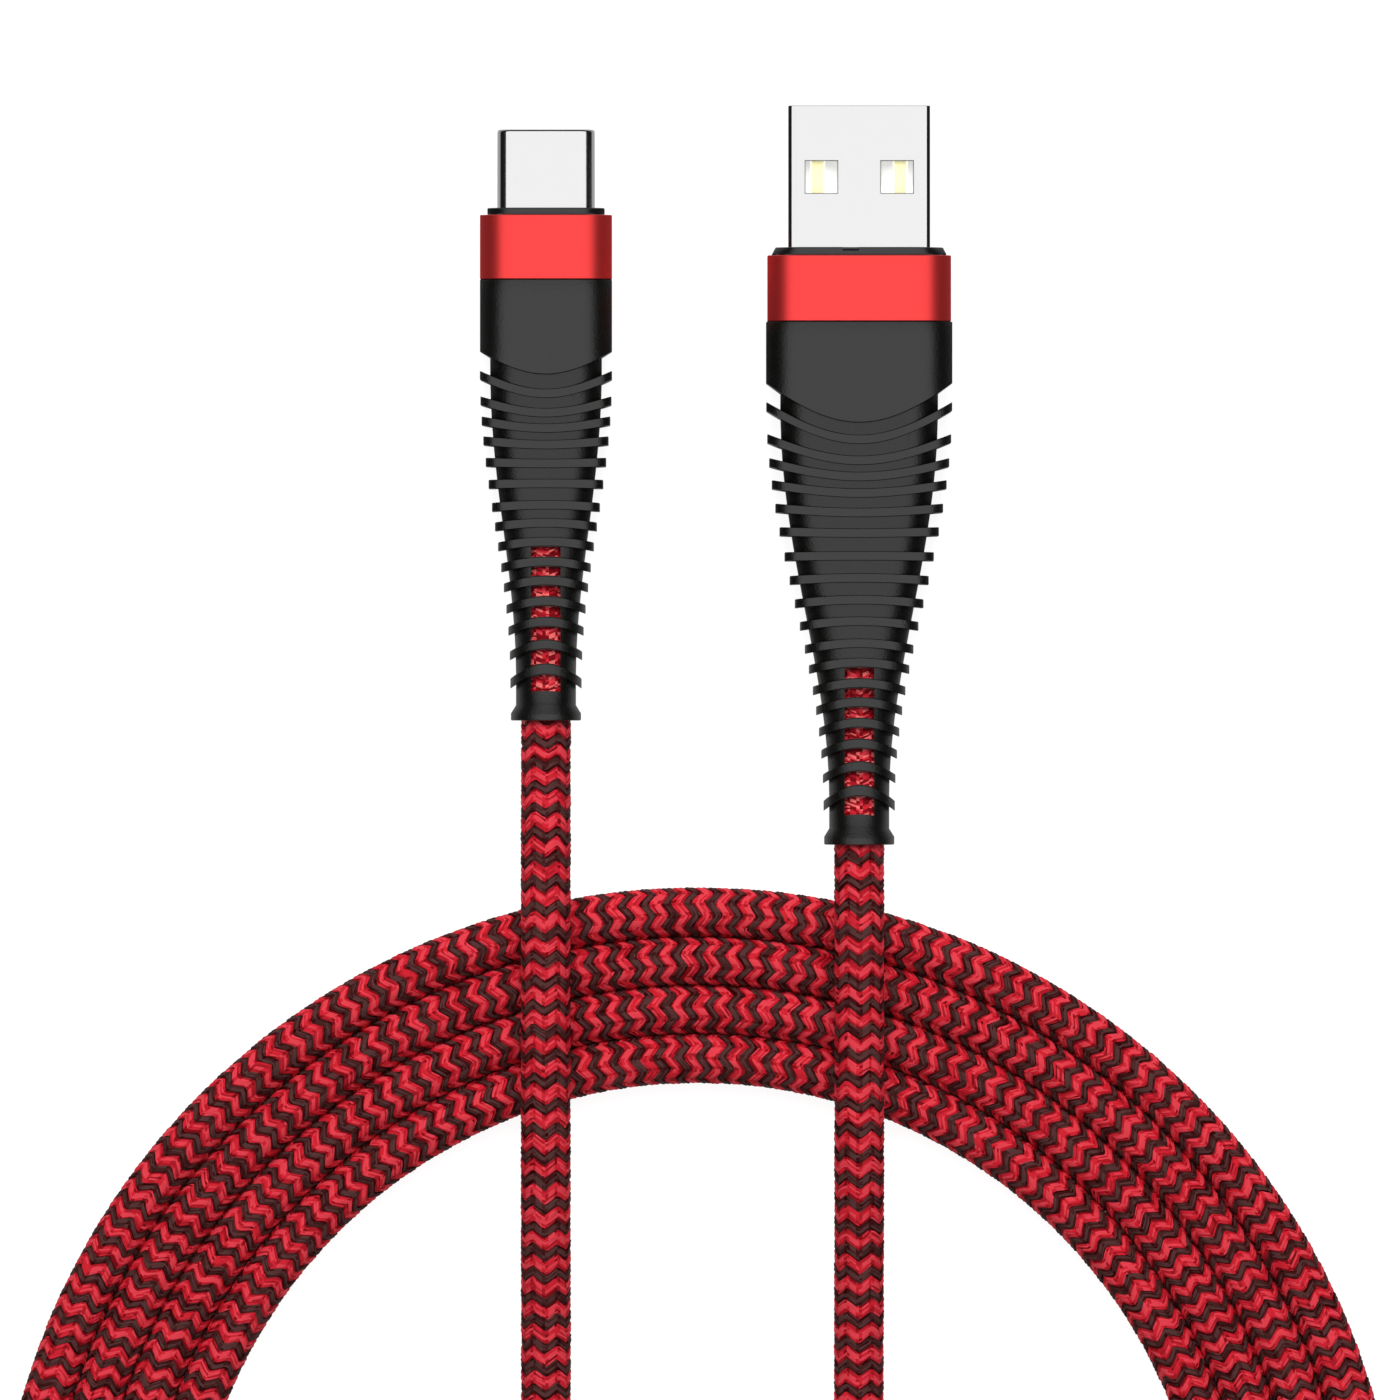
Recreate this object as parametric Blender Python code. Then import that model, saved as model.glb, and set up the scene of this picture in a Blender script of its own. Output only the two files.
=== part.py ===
"""A braided charging cable: a USB-A plug at one end, a USB-C plug at the other, and its cord wound in a coil.

The cable lies on a level surface at z = 0. +Y points at both plugs' tips, +X from the USB-C plug to the USB-A
plug. The origin is on the surface, at the middle of the two plugs. Lengths below are in millimetres and are
turned into metres where the meshes are made.
"""

import math
from dataclasses import dataclass

import bmesh
import bpy
from mathutils import Vector

MM = 0.001

# ---- driving dimensions, in millimetres -------------------------------------------------------------------
CORD_DIAMETER = 4.2
CORD_RADIUS = CORD_DIAMETER / 2
CORD_BORE_RADIUS = CORD_RADIUS + 0.1  # the hole through each boot
CORD_REST_Z = CORD_RADIUS + 0.02  # centre of a cord that lies on the surface
CORD_OVER_Z = 6.65  # centre of a cord that lies on another

COIL_CENTRE = (-1.52, -94.61)
COIL_INNER_RADIUS = 42.9
COIL_OUTER_RADIUS = 59.9
COIL_HEIGHT = 4.2
COIL_CORNER = 1.6
COIL_STEPS = 48

JACKET_RADIUS = 1.8  # the PVC jacket under the braid
CRIMP_INNER, CRIMP_OUTER = 1.86, 2.08
WIRE_RADIUS = 0.42
CORNER_STEPS = 3  # facets in each rounded corner of a section
CORD_POINT_SPACING = 2 * CORD_DIAMETER


@dataclass
class Plug:
    """One plug's dimensions. Every y is in the cable's frame, large at the tip and small at the cord."""

    key: str
    x: float
    z: float  # height of the plug's axis
    collar_y: float  # front of the nose collar
    ring_y: float  # front of the trim ring
    boot_y: float  # front of the boot, behind the ring
    shoulder_y: float  # rear edge of the boot's smooth body, at its sides
    neck_y: float  # where the ribbed neck starts, at its sides
    rib_ys: tuple  # middle of each rib, at its sides
    flare_y: float  # where the end collar starts to flare
    end_y: float
    body_half: tuple  # half width and half thickness of the boot's body
    body_corner: float
    ring_half: tuple
    collar_half: tuple  # at its front edge
    collar_flare: float  # how much wider it is at the ring
    housing_half: tuple  # the nose housing inside the ring
    housing_end_y: float
    housing_bore: tuple  # half width and half height of the hole through the housing
    housing_bore_corner: float
    neck_half: tuple
    rib_half_x: float  # at the first rib
    shoulder_sag: float  # how far the body's rear edge dips at the middle
    first_sag: float  # the same for the first rib
    sag_decay: float
    sag_rise: float
    cavity_half: tuple  # the narrow part behind the housing
    cavity_end_y: float
    lift: float  # how far the boot's end is bent up by the cord
    window_ribs: int
    jacket_y: tuple
    crimp_y: tuple
    cord_start_y: float


USB_A = Plug(
    key="usb_a",
    x=12.12,
    z=3.9,
    collar_y=19.28,
    ring_y=18.6,
    boot_y=12.92,
    shoulder_y=7.75,
    neck_y=7.0,
    rib_ys=(
        *(5.8, 3.09, 1.06, -0.81, -2.8, -4.79, -6.91, -8.92, -10.89),
        *(-12.8, -14.75, -16.46, -18.27, -19.96, -21.78, -23.65, -25.72, -28.0),
    ),
    flare_y=-29.9,
    end_y=-31.27,
    body_half=(7.88, 3.9),
    body_corner=2.4,
    ring_half=(7.77, 3.8),
    collar_half=(7.11, 3.2),
    collar_flare=0.28,
    housing_half=(7.05, 3.15),
    housing_end_y=8.4,
    housing_bore=(6.2, 2.42),
    housing_bore_corner=0.9,
    neck_half=(6.67, 3.62),
    rib_half_x=7.86,
    shoulder_sag=3.3,
    first_sag=2.8,
    sag_decay=0.155,
    sag_rise=1.0,
    cavity_half=(4.3, 2.3),
    cavity_end_y=3.2,
    lift=1.9,
    window_ribs=7,
    jacket_y=(4.7, -1.6),
    crimp_y=(2.7, 0.9),
    cord_start_y=-2.0,
)
USB_C = Plug(
    key="usb_c",
    x=-14.41,
    z=2.95,
    collar_y=22.67,
    ring_y=22.07,
    boot_y=16.52,
    shoulder_y=10.46,
    neck_y=10.04,
    rib_ys=(
        *(8.47, 6.31, 4.61, 2.92, 1.1, -0.77, -2.72, -4.37),
        *(-6.06, -7.84, -9.54, -11.36, -13.22, -15.3, -17.65),
    ),
    flare_y=-19.46,
    end_y=-20.77,
    body_half=(5.59, 2.95),
    body_corner=1.9,
    ring_half=(5.59, 2.9),
    collar_half=(4.97, 2.25),
    collar_flare=0.0,
    housing_half=(4.93, 2.22),
    housing_end_y=11.3,
    housing_bore=(4.25, 1.45),
    housing_bore_corner=1.2,
    neck_half=(4.73, 2.7),
    rib_half_x=5.59,
    shoulder_sag=1.9,
    first_sag=1.55,
    sag_decay=0.2,
    sag_rise=0.93,
    cavity_half=(2.9, 1.98),
    cavity_end_y=7.4,
    lift=0.9,
    window_ribs=7,
    jacket_y=(8.7, 2.4),
    crimp_y=(6.6, 4.8),
    cord_start_y=2.1,
)
NECK_END_HALF = 2.54  # the neck is round where it meets the end collar
RIB_END_HALF_X = 3.02
NECK_TAPER, RIB_TAPER = 1.08, 0.98  # above 1, the boot stays wide for longer
RIB_PROUD = 0.14  # how far a rib stands above the neck on the flat sides
RIB_HALF, LAST_RIB_HALF = 0.39, 0.44
LAST_RISE, LAST_RISE_POWER = 0.33, 12  # how much more the last rib rises at its middle, and how suddenly
SMILE_BLUNTNESS, FROWN_BLUNTNESS = 1.0, 2.0  # how round the ribs' curves are at their middle
END_COLLAR_HALF = 2.97
WINDOW_HALF_X = 1.25
WINDOW_MARGIN = 0.10
SLEEVE_GAP = 0.1  # between the nose housing and what is round it

A_SHELL_HALF, A_SHELL_CORNER, A_SHELL_WALL = (6.0, 2.25), 0.75, 0.3
A_SHELL_OUT, A_SHELL_IN = 12.0, 6.5  # ahead of the collar's front and behind it
A_WINDOW_X, A_WINDOW_HALF = 3.2, 1.35
A_WINDOW_FROM_TIP = 6.05  # middle of the windows
A_TONGUE_HALF_X, A_TONGUE_TOP, A_TONGUE_BOTTOM = 5.45, -0.05, -1.78
A_TONGUE_SETBACK, A_CAVITY_DEPTH = 0.5, 9.1
A_CONTACT_X = {"vbus": -3.5, "data_minus": -1.0, "data_plus": 1.0, "ground": 3.5}
A_CONTACT_HALF_X, A_CONTACT_THICK = 0.5, 0.25
A_NOTCH_X, A_NOTCH_DEPTH, A_NOTCH_FLOOR = (-1.39, -0.03), 0.31, 0.33  # its floor's height over the bore

C_SHELL_HALF, C_SHELL_CORNER, C_SHELL_WALL = (4.125, 1.2), 1.14, 0.27
C_SHELL_OUT, C_SHELL_IN = 6.65, 4.5
C_INSULATOR_HALF, C_SLOT_HALF = (3.7, 0.76), (3.48, 0.62)
C_INSULATOR_Y = (6.4, -3.4)
C_PITCH, C_CONTACT_HALF_X = 0.5, 0.125
C_CONTACT_Z, C_CONTACT_Y = (0.46, 0.58), (5.9, -5.4)
C_UPPER_ROW = {
    "ground_1": 1, "vbus_1": 4, "cc": 5, "data_plus": 6, "data_minus": 7, "vbus_2": 9, "ground_2": 12,
}
C_LOWER_ROW = {"ground_1": 1, "vbus_1": 4, "vconn": 5, "vbus_2": 9, "ground_2": 12}
C_BOARD_HALF_X, C_BOARD_HALF_Z, C_BOARD_Y = 3.3, 0.3, (-3.9, -9.2)

# The free stretches of cord, (x, y, z), from each plug's jacket to the coil.
# Inside a boot the height follows the boot.
LEAD_C_ROUTE = (
    (-14.41, -26.4, 4.6),
    (-14.41, -31.6, 5.75),
    (-14.41, -36.8, 6.52),
    (-14.41, -42.0, CORD_OVER_Z),
    (-14.41, -47.5, CORD_OVER_Z),
    (-14.41, -52.8, 6.6),
    (-14.41, -58.0, 6.15),
    (-14.41, -64.0, 4.95),
    (-14.41, -70.0, 3.6),
    (-14.41, -76.0, 2.6),
    (-14.41, -82.5, CORD_REST_Z),
    (-14.41, -90.0, CORD_REST_Z),
    (-14.41, -98.0, CORD_REST_Z),
    (-14.41, -106.0, CORD_REST_Z),
    (-14.2, -113.0, CORD_REST_Z),
    (-13.0, -119.6, CORD_REST_Z),
    (-10.6, -125.6, CORD_REST_Z),
    (-7.0, -130.6, CORD_REST_Z),
    (-2.2, -134.4, CORD_REST_Z),
)
LEAD_A_ROUTE = (
    (12.12, -34.6, 6.2),
    (12.12, -38.2, 6.55),
    (12.12, -42.6, CORD_OVER_Z),
    (12.12, -48.0, CORD_OVER_Z),
    (12.12, -53.2, 6.6),
    (12.12, -58.0, 6.15),
    (12.12, -64.0, 4.95),
    (12.12, -70.0, 3.6),
    (12.12, -76.0, 2.6),
    (12.12, -82.5, CORD_REST_Z),
    (12.12, -89.0, CORD_REST_Z),
    (12.12, -95.5, CORD_REST_Z),
    (11.7, -102.5, 2.2),
    (10.0, -110.0, 2.6),
    (6.8, -117.0, 3.7),
    (1.9, -123.2, 5.4),
    (-4.4, -128.4, 6.55),
    (-11.5, -131.9, CORD_OVER_Z),
    (-18.85, -133.5, CORD_OVER_Z),
    (-26.7, -133.3, CORD_OVER_Z),
    (-34.3, -131.0, CORD_OVER_Z),
    (-41.5, -127.0, CORD_OVER_Z),
    (-47.9, -121.4, CORD_OVER_Z),
)


# ---- mesh helpers -----------------------------------------------------------------------------------------
def clear_scene():
    """Remove every object that the file holds."""
    for thing in list(bpy.data.objects):
        bpy.data.objects.remove(thing, do_unlink=True)


def finish_material(name, colour, roughness, metallic=0.0):
    """A plain Principled material."""
    made = bpy.data.materials.new(name)
    made.use_nodes = True
    shader = made.node_tree.nodes["Principled BSDF"]
    shader.inputs["Base Color"].default_value = (*colour, 1.0)
    shader.inputs["Roughness"].default_value = roughness
    shader.inputs["Metallic"].default_value = metallic
    made.diffuse_color = (*colour, 1.0)
    return made


def add_mesh(name, points, faces, material):
    """An object from points in millimetres, with its faces turned outward."""
    mesh = bpy.data.meshes.new(name)
    mesh.from_pydata([Vector(p) * MM for p in points], [], faces)
    shape = bmesh.new()
    shape.from_mesh(mesh)
    bmesh.ops.recalc_face_normals(shape, faces=shape.faces)
    shape.to_mesh(mesh)
    shape.free()
    mesh.materials.append(material)
    made = bpy.data.objects.new(name, mesh)
    bpy.context.scene.collection.objects.link(made)
    return made


def rounded_section(half_x, half_z, corner, steps=CORNER_STEPS):
    """A rectangle with round corners in the XZ plane, as (x, z) points."""
    corner = min(corner, half_x - 0.06, half_z - 0.06)
    points = []
    for turn, (side_x, side_z) in enumerate(((1, 1), (-1, 1), (-1, -1), (1, -1))):
        for step in range(steps + 1):
            angle = math.radians(90 * turn + 90 * step / steps)
            across = side_x * (half_x - corner) + corner * math.cos(angle)
            up = side_z * (half_z - corner) + corner * math.sin(angle)
            points.append((across, up))
    return points


def bow(share, sag):
    """How far a sagging line dips, from sag at its middle (share 0) to nothing at its ends (share 1)."""
    blunt = SMILE_BLUNTNESS if sag > 0 else FROWN_BLUNTNESS
    end = math.hypot(1, blunt)
    return sag * (end - math.hypot(share, blunt)) / (end - blunt)


def ring_at(plug, y, half, corner, rise=0.0, sag=0.0, steps=CORNER_STEPS):
    """One ring of a loft round a plug's axis. sag moves its middle towards the cord end."""
    ring = []
    for across, up in rounded_section(*half, corner, steps):
        ring.append((plug.x + across, y - bow(across / half[0], sag), plug.z + rise + up))
    return ring


def skin(rings, closed):
    """Quads between one ring and the next, and from the last back to the first if closed."""
    count = len(rings[0])
    pairs = len(rings) if closed else len(rings) - 1
    faces = []
    for row in range(pairs):
        start, after = row * count, (row + 1) % len(rings) * count
        for i in range(count):
            j = (i + 1) % count
            faces.append((start + i, start + j, after + j, after + i))
    return faces


def loft(name, rings, material):
    """A solid through the rings, with flat ends."""
    count = len(rings[0])
    points = [p for ring in rings for p in ring]
    faces = skin(rings, closed=False)
    faces.append(tuple(range(count)))
    faces.append(tuple(range(len(points) - count, len(points))))
    return add_mesh(name, points, faces, material)


def sleeve(name, outer, inner, material):
    """A tube with outer and inner rings, both listed from front to rear."""
    rings = outer + inner[::-1]
    return add_mesh(name, [p for ring in rings for p in ring], skin(rings, closed=True), material)


def prism(name, outline, low, high, axis, material):
    """An outline pushed from low to high along an axis.

    The outline's points are in the other two axes' order.
    """
    points = []
    for level in (low, high):
        for a, b in outline:
            point = [a, b]
            point.insert("xyz".index(axis), level)
            points.append(point)
    count = len(outline)
    faces = [tuple(range(count)), tuple(range(count, 2 * count))]
    faces += [(i, (i + 1) % count, count + (i + 1) % count, count + i) for i in range(count)]
    return add_mesh(name, points, faces, material)


def box(name, x, y, z, material):
    """A box between pairs of limits."""
    outline = ((x[0], y[0]), (x[1], y[0]), (x[1], y[1]), (x[0], y[1]))
    return prism(name, outline, z[0], z[1], "z", material)


def cut(target, cutter):
    """Take the cutter out of the target with a Boolean."""
    cutter.hide_render = True
    cutter.display_type = "WIRE"
    modifier = target.modifiers.new(f"cut_{cutter.name}", "BOOLEAN")
    modifier.operation = "DIFFERENCE"
    modifier.solver = "EXACT"
    modifier.object = cutter


def smooth_route(points, steps):
    """Points on a Catmull-Rom curve through the given ones."""
    ends = [2 * Vector(points[0]) - Vector(points[1])]
    tail = [2 * Vector(points[-1]) - Vector(points[-2])]
    stops = ends + [Vector(p) for p in points] + tail
    route = []
    for a, b, c, d in zip(stops, stops[1:], stops[2:], stops[3:]):
        for step in range(steps):
            t = step / steps
            squared = 2 * a - 5 * b + 4 * c - d
            cubed = 3 * b - a - 3 * c + d
            route.append(0.5 * (2 * b + (c - a) * t + squared * t**2 + cubed * t**3))
    route.append(stops[-2])
    return route


def spaced_route(points, spacing):
    """Points about one spacing apart on the smooth curve through the given ones."""
    fine = smooth_route(points, 8)
    total = sum((after - before).length for before, after in zip(fine, fine[1:]))
    spacing = total / round(total / spacing)
    picked, walked = [fine[0]], 0.0
    for before, after in zip(fine, fine[1:]):
        walked += (after - before).length
        if walked >= spacing * len(picked) - 1e-6:
            picked.append(after)
    if (fine[-1] - picked[-1]).length > spacing / 4:
        picked.append(fine[-1])
    return picked


def tube(name, route, radius, resolution, material):
    """A round tube along a route, as a bevelled curve with filled caps."""
    curve = bpy.data.curves.new(name, "CURVE")
    curve.dimensions = "3D"
    curve.bevel_depth = radius * MM
    curve.bevel_resolution = resolution
    curve.use_fill_caps = True
    spline = curve.splines.new("POLY")
    spline.points.add(len(route) - 1)
    for knot, place in zip(spline.points, route):
        knot.co = (*(Vector(place) * MM), 1.0)
    curve.materials.append(material)
    made = bpy.data.objects.new(name, curve)
    bpy.context.scene.collection.objects.link(made)
    return made


# ---- the boots --------------------------------------------------------------------------------------------
def ease(share, power):
    """Falls from 1 to 0 as share goes from 0 to 1, level at both ends."""
    share = min(max(share, 0.0), 1.0) ** power
    return 0.5 * (1 + math.cos(math.pi * share))


def rise_at(plug, y):
    """How far the boot's middle line is above the plug's axis."""
    share = max(0.0, (plug.neck_y - y) / (plug.neck_y - plug.end_y))
    return plug.lift * share**2


def neck_half_at(plug, y):
    """Half width and half thickness of the neck between the ribs."""
    share = ease((plug.neck_y - y) / (plug.neck_y - plug.rib_ys[-1]), NECK_TAPER)
    return tuple(NECK_END_HALF + (half - NECK_END_HALF) * share for half in plug.neck_half)


def rib_half_at(plug, y):
    """Half width and half thickness over a rib."""
    first, last = plug.rib_ys[0], plug.rib_ys[-1]
    share = ease((first - y) / (first - last), RIB_TAPER)
    across = RIB_END_HALF_X + (plug.rib_half_x - RIB_END_HALF_X) * share
    return across, neck_half_at(plug, y)[1] + RIB_PROUD


def rib_places(plug):
    """Each rib's middle at the boot's side, its half thickness, and its sag at the boot's middle."""
    last = len(plug.rib_ys) - 1
    found = []
    for i, y in enumerate(plug.rib_ys):
        share = i / last
        half = LAST_RIB_HALF if i == last else RIB_HALF
        sag = plug.first_sag * math.exp(-share / plug.sag_decay) - plug.sag_rise * share
        sag -= LAST_RISE * share**LAST_RISE_POWER
        found.append((y, half, sag))
    return found


def boot_rings(plug):
    """The boot's outside, from its front face to the end collar."""

    def neck(y, sag):
        half = neck_half_at(plug, y)
        return ring_at(plug, y, half, half[1], rise_at(plug, y), sag)

    edge = 0.12
    body, corner = plug.body_half, plug.body_corner
    inset = tuple(half - edge for half in body)
    rings = [
        ring_at(plug, plug.boot_y - 0.05, inset, corner),
        ring_at(plug, plug.boot_y - 0.05 - edge, body, corner),
        ring_at(plug, (plug.boot_y + plug.shoulder_y) / 2, body, corner, sag=plug.shoulder_sag * 0.45),
        ring_at(plug, plug.shoulder_y, body, corner, sag=plug.shoulder_sag * 0.9),
        neck(plug.neck_y, plug.shoulder_sag),
    ]
    for y, half, sag in rib_places(plug):
        tip = half * 0.8
        rib = rib_half_at(plug, y)
        rings.append(neck(y + half, sag))
        rings.append(ring_at(plug, y + tip, rib, rib[1], rise_at(plug, y), sag))
        rings.append(ring_at(plug, y - tip, rib, rib[1], rise_at(plug, y), sag))
        rings.append(neck(y - half, sag))
    collar = (END_COLLAR_HALF, END_COLLAR_HALF)
    flare_end = (plug.flare_y + plug.end_y) / 2
    rings.append(neck(plug.flare_y, -0.5))
    rings.append(ring_at(plug, flare_end, collar, collar[0], rise_at(plug, flare_end), -0.2))
    rings.append(ring_at(plug, plug.end_y, collar, collar[0], rise_at(plug, plug.end_y)))
    return rings


def window_spans(plug):
    """The y limits of the windows, between the last ribs on the boot's middle line."""
    ribs = rib_places(plug)[-plug.window_ribs :]
    spans = []
    for (y, half, sag), (after_y, after_half, after_sag) in zip(ribs, ribs[1:]):
        spans.append((after_y - after_sag + after_half + WINDOW_MARGIN, y - sag - half - WINDOW_MARGIN))
    last_y, last_half, last_sag = ribs[-1]
    spans.append((plug.flare_y + 1.2, last_y - last_sag - last_half - WINDOW_MARGIN))
    return spans


def add_boot(plug, rubber):
    """The moulded strain relief: a smooth body, a ribbed neck, and windows that show the braid."""
    boot = loft(f"{plug.key}_boot", boot_rings(plug), rubber)
    wide = tuple(half + SLEEVE_GAP for half in plug.housing_half)
    corner = plug.body_corner - 0.5
    housing_room = [ring_at(plug, y, wide, corner) for y in (plug.boot_y + 1, plug.housing_end_y - 0.2)]
    wire_room = [
        ring_at(plug, y, plug.cavity_half, 1.4) for y in (plug.housing_end_y, plug.cavity_end_y)
    ]
    bore_top, bore_end = plug.cavity_end_y + 0.2, plug.end_y - 1
    spans = 7
    stations = [bore_top + (bore_end - bore_top) * i / spans for i in range(spans + 1)]
    round_half = (CORD_BORE_RADIUS, CORD_BORE_RADIUS)
    bore = [ring_at(plug, y, round_half, CORD_BORE_RADIUS, rise_at(plug, y), steps=5) for y in stations]
    for name, rings in (("housing_room", housing_room), ("wire_room", wire_room), ("bore", bore)):
        cut(boot, loft(f"{plug.key}_{name}", rings, rubber))
    across = (plug.x - WINDOW_HALF_X, plug.x + WINDOW_HALF_X)
    for i, span in enumerate(window_spans(plug)):
        cut(boot, box(f"{plug.key}_window_{i + 1}", across, span, (-1, plug.z * 2 + plug.lift * 2), rubber))


# ---- what both plugs have ---------------------------------------------------------------------------------
def add_nose_housing(plug, plastic):
    """The black inner housing. Its front edge is the collar that shows ahead of the trim ring."""
    collar = plug.collar_half
    flared = (collar[0] + plug.collar_flare, collar[1] + plug.collar_flare * 0.3)
    corner = plug.body_corner - 0.6
    back_y = plug.ring_y + SLEEVE_GAP
    outer = [
        ring_at(plug, plug.collar_y, collar, corner),
        ring_at(plug, back_y, flared, corner),
        ring_at(plug, back_y, plug.housing_half, corner),
        ring_at(plug, plug.housing_end_y, plug.housing_half, corner),
    ]
    if plug.collar_flare == 0:
        del outer[1]
    inner = [
        ring_at(plug, y, plug.housing_bore, plug.housing_bore_corner)
        for y in (plug.collar_y, plug.housing_end_y)
    ]
    return sleeve(f"{plug.key}_nose_housing", outer, inner, plastic)


def add_trim_ring(plug, metal):
    """The red aluminium band, with a small chamfer on both edges."""
    edge = 0.15
    half, corner = plug.ring_half, plug.body_corner
    narrow = tuple(side - edge for side in half)
    rear = plug.boot_y + SLEEVE_GAP
    outer = [
        ring_at(plug, plug.ring_y, narrow, corner),
        ring_at(plug, plug.ring_y - edge, half, corner),
        ring_at(plug, rear + edge, half, corner),
        ring_at(plug, rear, narrow, corner),
    ]
    bore = tuple(side + SLEEVE_GAP for side in plug.housing_half)
    inner = [ring_at(plug, y, bore, corner - 0.5) for y in (plug.ring_y, rear)]
    sleeve(f"{plug.key}_trim_ring", outer, inner, metal)


def add_cable_end(plug, starts, colours, jacket_material, metal):
    """The jacket's end, its crimp, and the four wires from their solder points into the jacket."""
    front, rear = plug.jacket_y
    round_z = plug.z + rise_at(plug, (front + rear) / 2)
    route = [(plug.x, front, round_z), (plug.x, rear, round_z)]
    tube(f"{plug.key}_jacket", route, JACKET_RADIUS, 3, jacket_material)
    rings = []
    for radius in (CRIMP_OUTER, CRIMP_INNER):
        rings.append([
            [
                (plug.x + radius * math.cos(angle), y, round_z + radius * math.sin(angle))
                for angle in (math.tau * i / 16 for i in range(16))
            ]
            for y in plug.crimp_y
        ])
    sleeve(f"{plug.key}_crimp", rings[0], rings[1], metal)
    spread = 0.6
    corners = ((-spread, -spread), (-spread, spread), (spread, spread), (spread, -spread))
    for (name, colour), start, (dx, dz) in zip(colours.items(), starts, corners):
        far = (plug.x + dx, front + 0.35, round_z + dz)
        x, y, z = start
        length = y - far[1]
        points = [start, (x, y - 0.25 * length, z), (far[0], far[1] + 0.3 * length, far[2]), far]
        tube(f"{plug.key}_wire_{name}", smooth_route(points, 3), WIRE_RADIUS, 2, colour)


# ---- the USB-A plug's own pieces --------------------------------------------------------------------------
def add_usb_a(materials):
    plug = USB_A
    tip, front = plug.collar_y + A_SHELL_OUT, plug.collar_y
    housing = add_nose_housing(plug, materials["black_plastic"])
    notch_x = tuple(plug.x + side for side in A_NOTCH_X)
    notch_y = (front - A_NOTCH_DEPTH, front + 1)
    notch_z = (plug.z + plug.housing_bore[1] + A_NOTCH_FLOOR, plug.z + 5)
    cut(housing, box("usb_a_notch", notch_x, notch_y, notch_z, materials["black_plastic"]))
    add_trim_ring(plug, materials["red_metal"])
    add_boot(plug, materials["rubber"])

    half, wall = A_SHELL_HALF, A_SHELL_WALL
    narrow = tuple(side - 0.12 for side in half)
    inside = tuple(side - wall for side in half)
    outer = [ring_at(plug, tip, narrow, A_SHELL_CORNER), ring_at(plug, tip - 0.35, half, A_SHELL_CORNER)]
    outer.append(ring_at(plug, front - A_SHELL_IN, half, A_SHELL_CORNER))
    inner = [ring_at(plug, y, inside, A_SHELL_CORNER - wall) for y in (tip, front - A_SHELL_IN)]
    shell = sleeve("usb_a_shell", outer, inner, materials["steel"])
    middle = tip - A_WINDOW_FROM_TIP
    for side, name in ((-1, "left"), (1, "right")):
        centre = plug.x + side * A_WINDOW_X
        x = (centre - A_WINDOW_HALF, centre + A_WINDOW_HALF)
        y = (middle - A_WINDOW_HALF, middle + A_WINDOW_HALF)
        cut(shell, box(f"usb_a_shell_window_{name}", x, y, (plug.z - 4, plug.z + 4), materials["steel"]))

    low, top = plug.z + A_TONGUE_BOTTOM, plug.z + A_TONGUE_TOP
    block_top = plug.z - A_TONGUE_BOTTOM
    side_view = (
        (tip - A_TONGUE_SETBACK, low),
        (tip - A_TONGUE_SETBACK, top - 0.4),
        (tip - A_TONGUE_SETBACK - 0.4, top),
        (tip - A_CAVITY_DEPTH, top),
        (tip - A_CAVITY_DEPTH, block_top),
        (front - 5.6, block_top),
        (front - 5.6, low),
    )
    across = (plug.x - A_TONGUE_HALF_X, plug.x + A_TONGUE_HALF_X)
    insulator = prism("usb_a_insulator", side_view, *across, "x", materials["white_plastic"])
    for name, x in A_CONTACT_X.items():
        middle_x = plug.x + x
        groove_x = (middle_x - A_CONTACT_HALF_X - 0.12, middle_x + A_CONTACT_HALF_X + 0.12)
        groove_y = (front - 6, tip - 1.2)
        groove_z = (top - 0.42, top + 0.14)
        cut(insulator, box(f"usb_a_groove_{name}", groove_x, groove_y, groove_z, materials["white_plastic"]))
        high = top - 0.04
        low_side = high - A_CONTACT_THICK
        strip = (
            (tip - 1.5, high - 0.12),
            (tip - 2.1, high),
            (front - 7.2, high),
            (front - 7.2, low_side),
            (tip - 2.1, low_side),
            (tip - 1.5, low_side - 0.06),
        )
        limits = (middle_x - A_CONTACT_HALF_X, middle_x + A_CONTACT_HALF_X)
        prism(f"usb_a_contact_{name}", strip, *limits, "x", materials["gold"])

    tail_y, tail_z = front - 7.4, top - 0.16
    starts = [(plug.x + x, tail_y, tail_z) for x in A_CONTACT_X.values()]
    add_cable_end(plug, starts, materials["wires"], materials["jacket"], materials["copper"])


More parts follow.
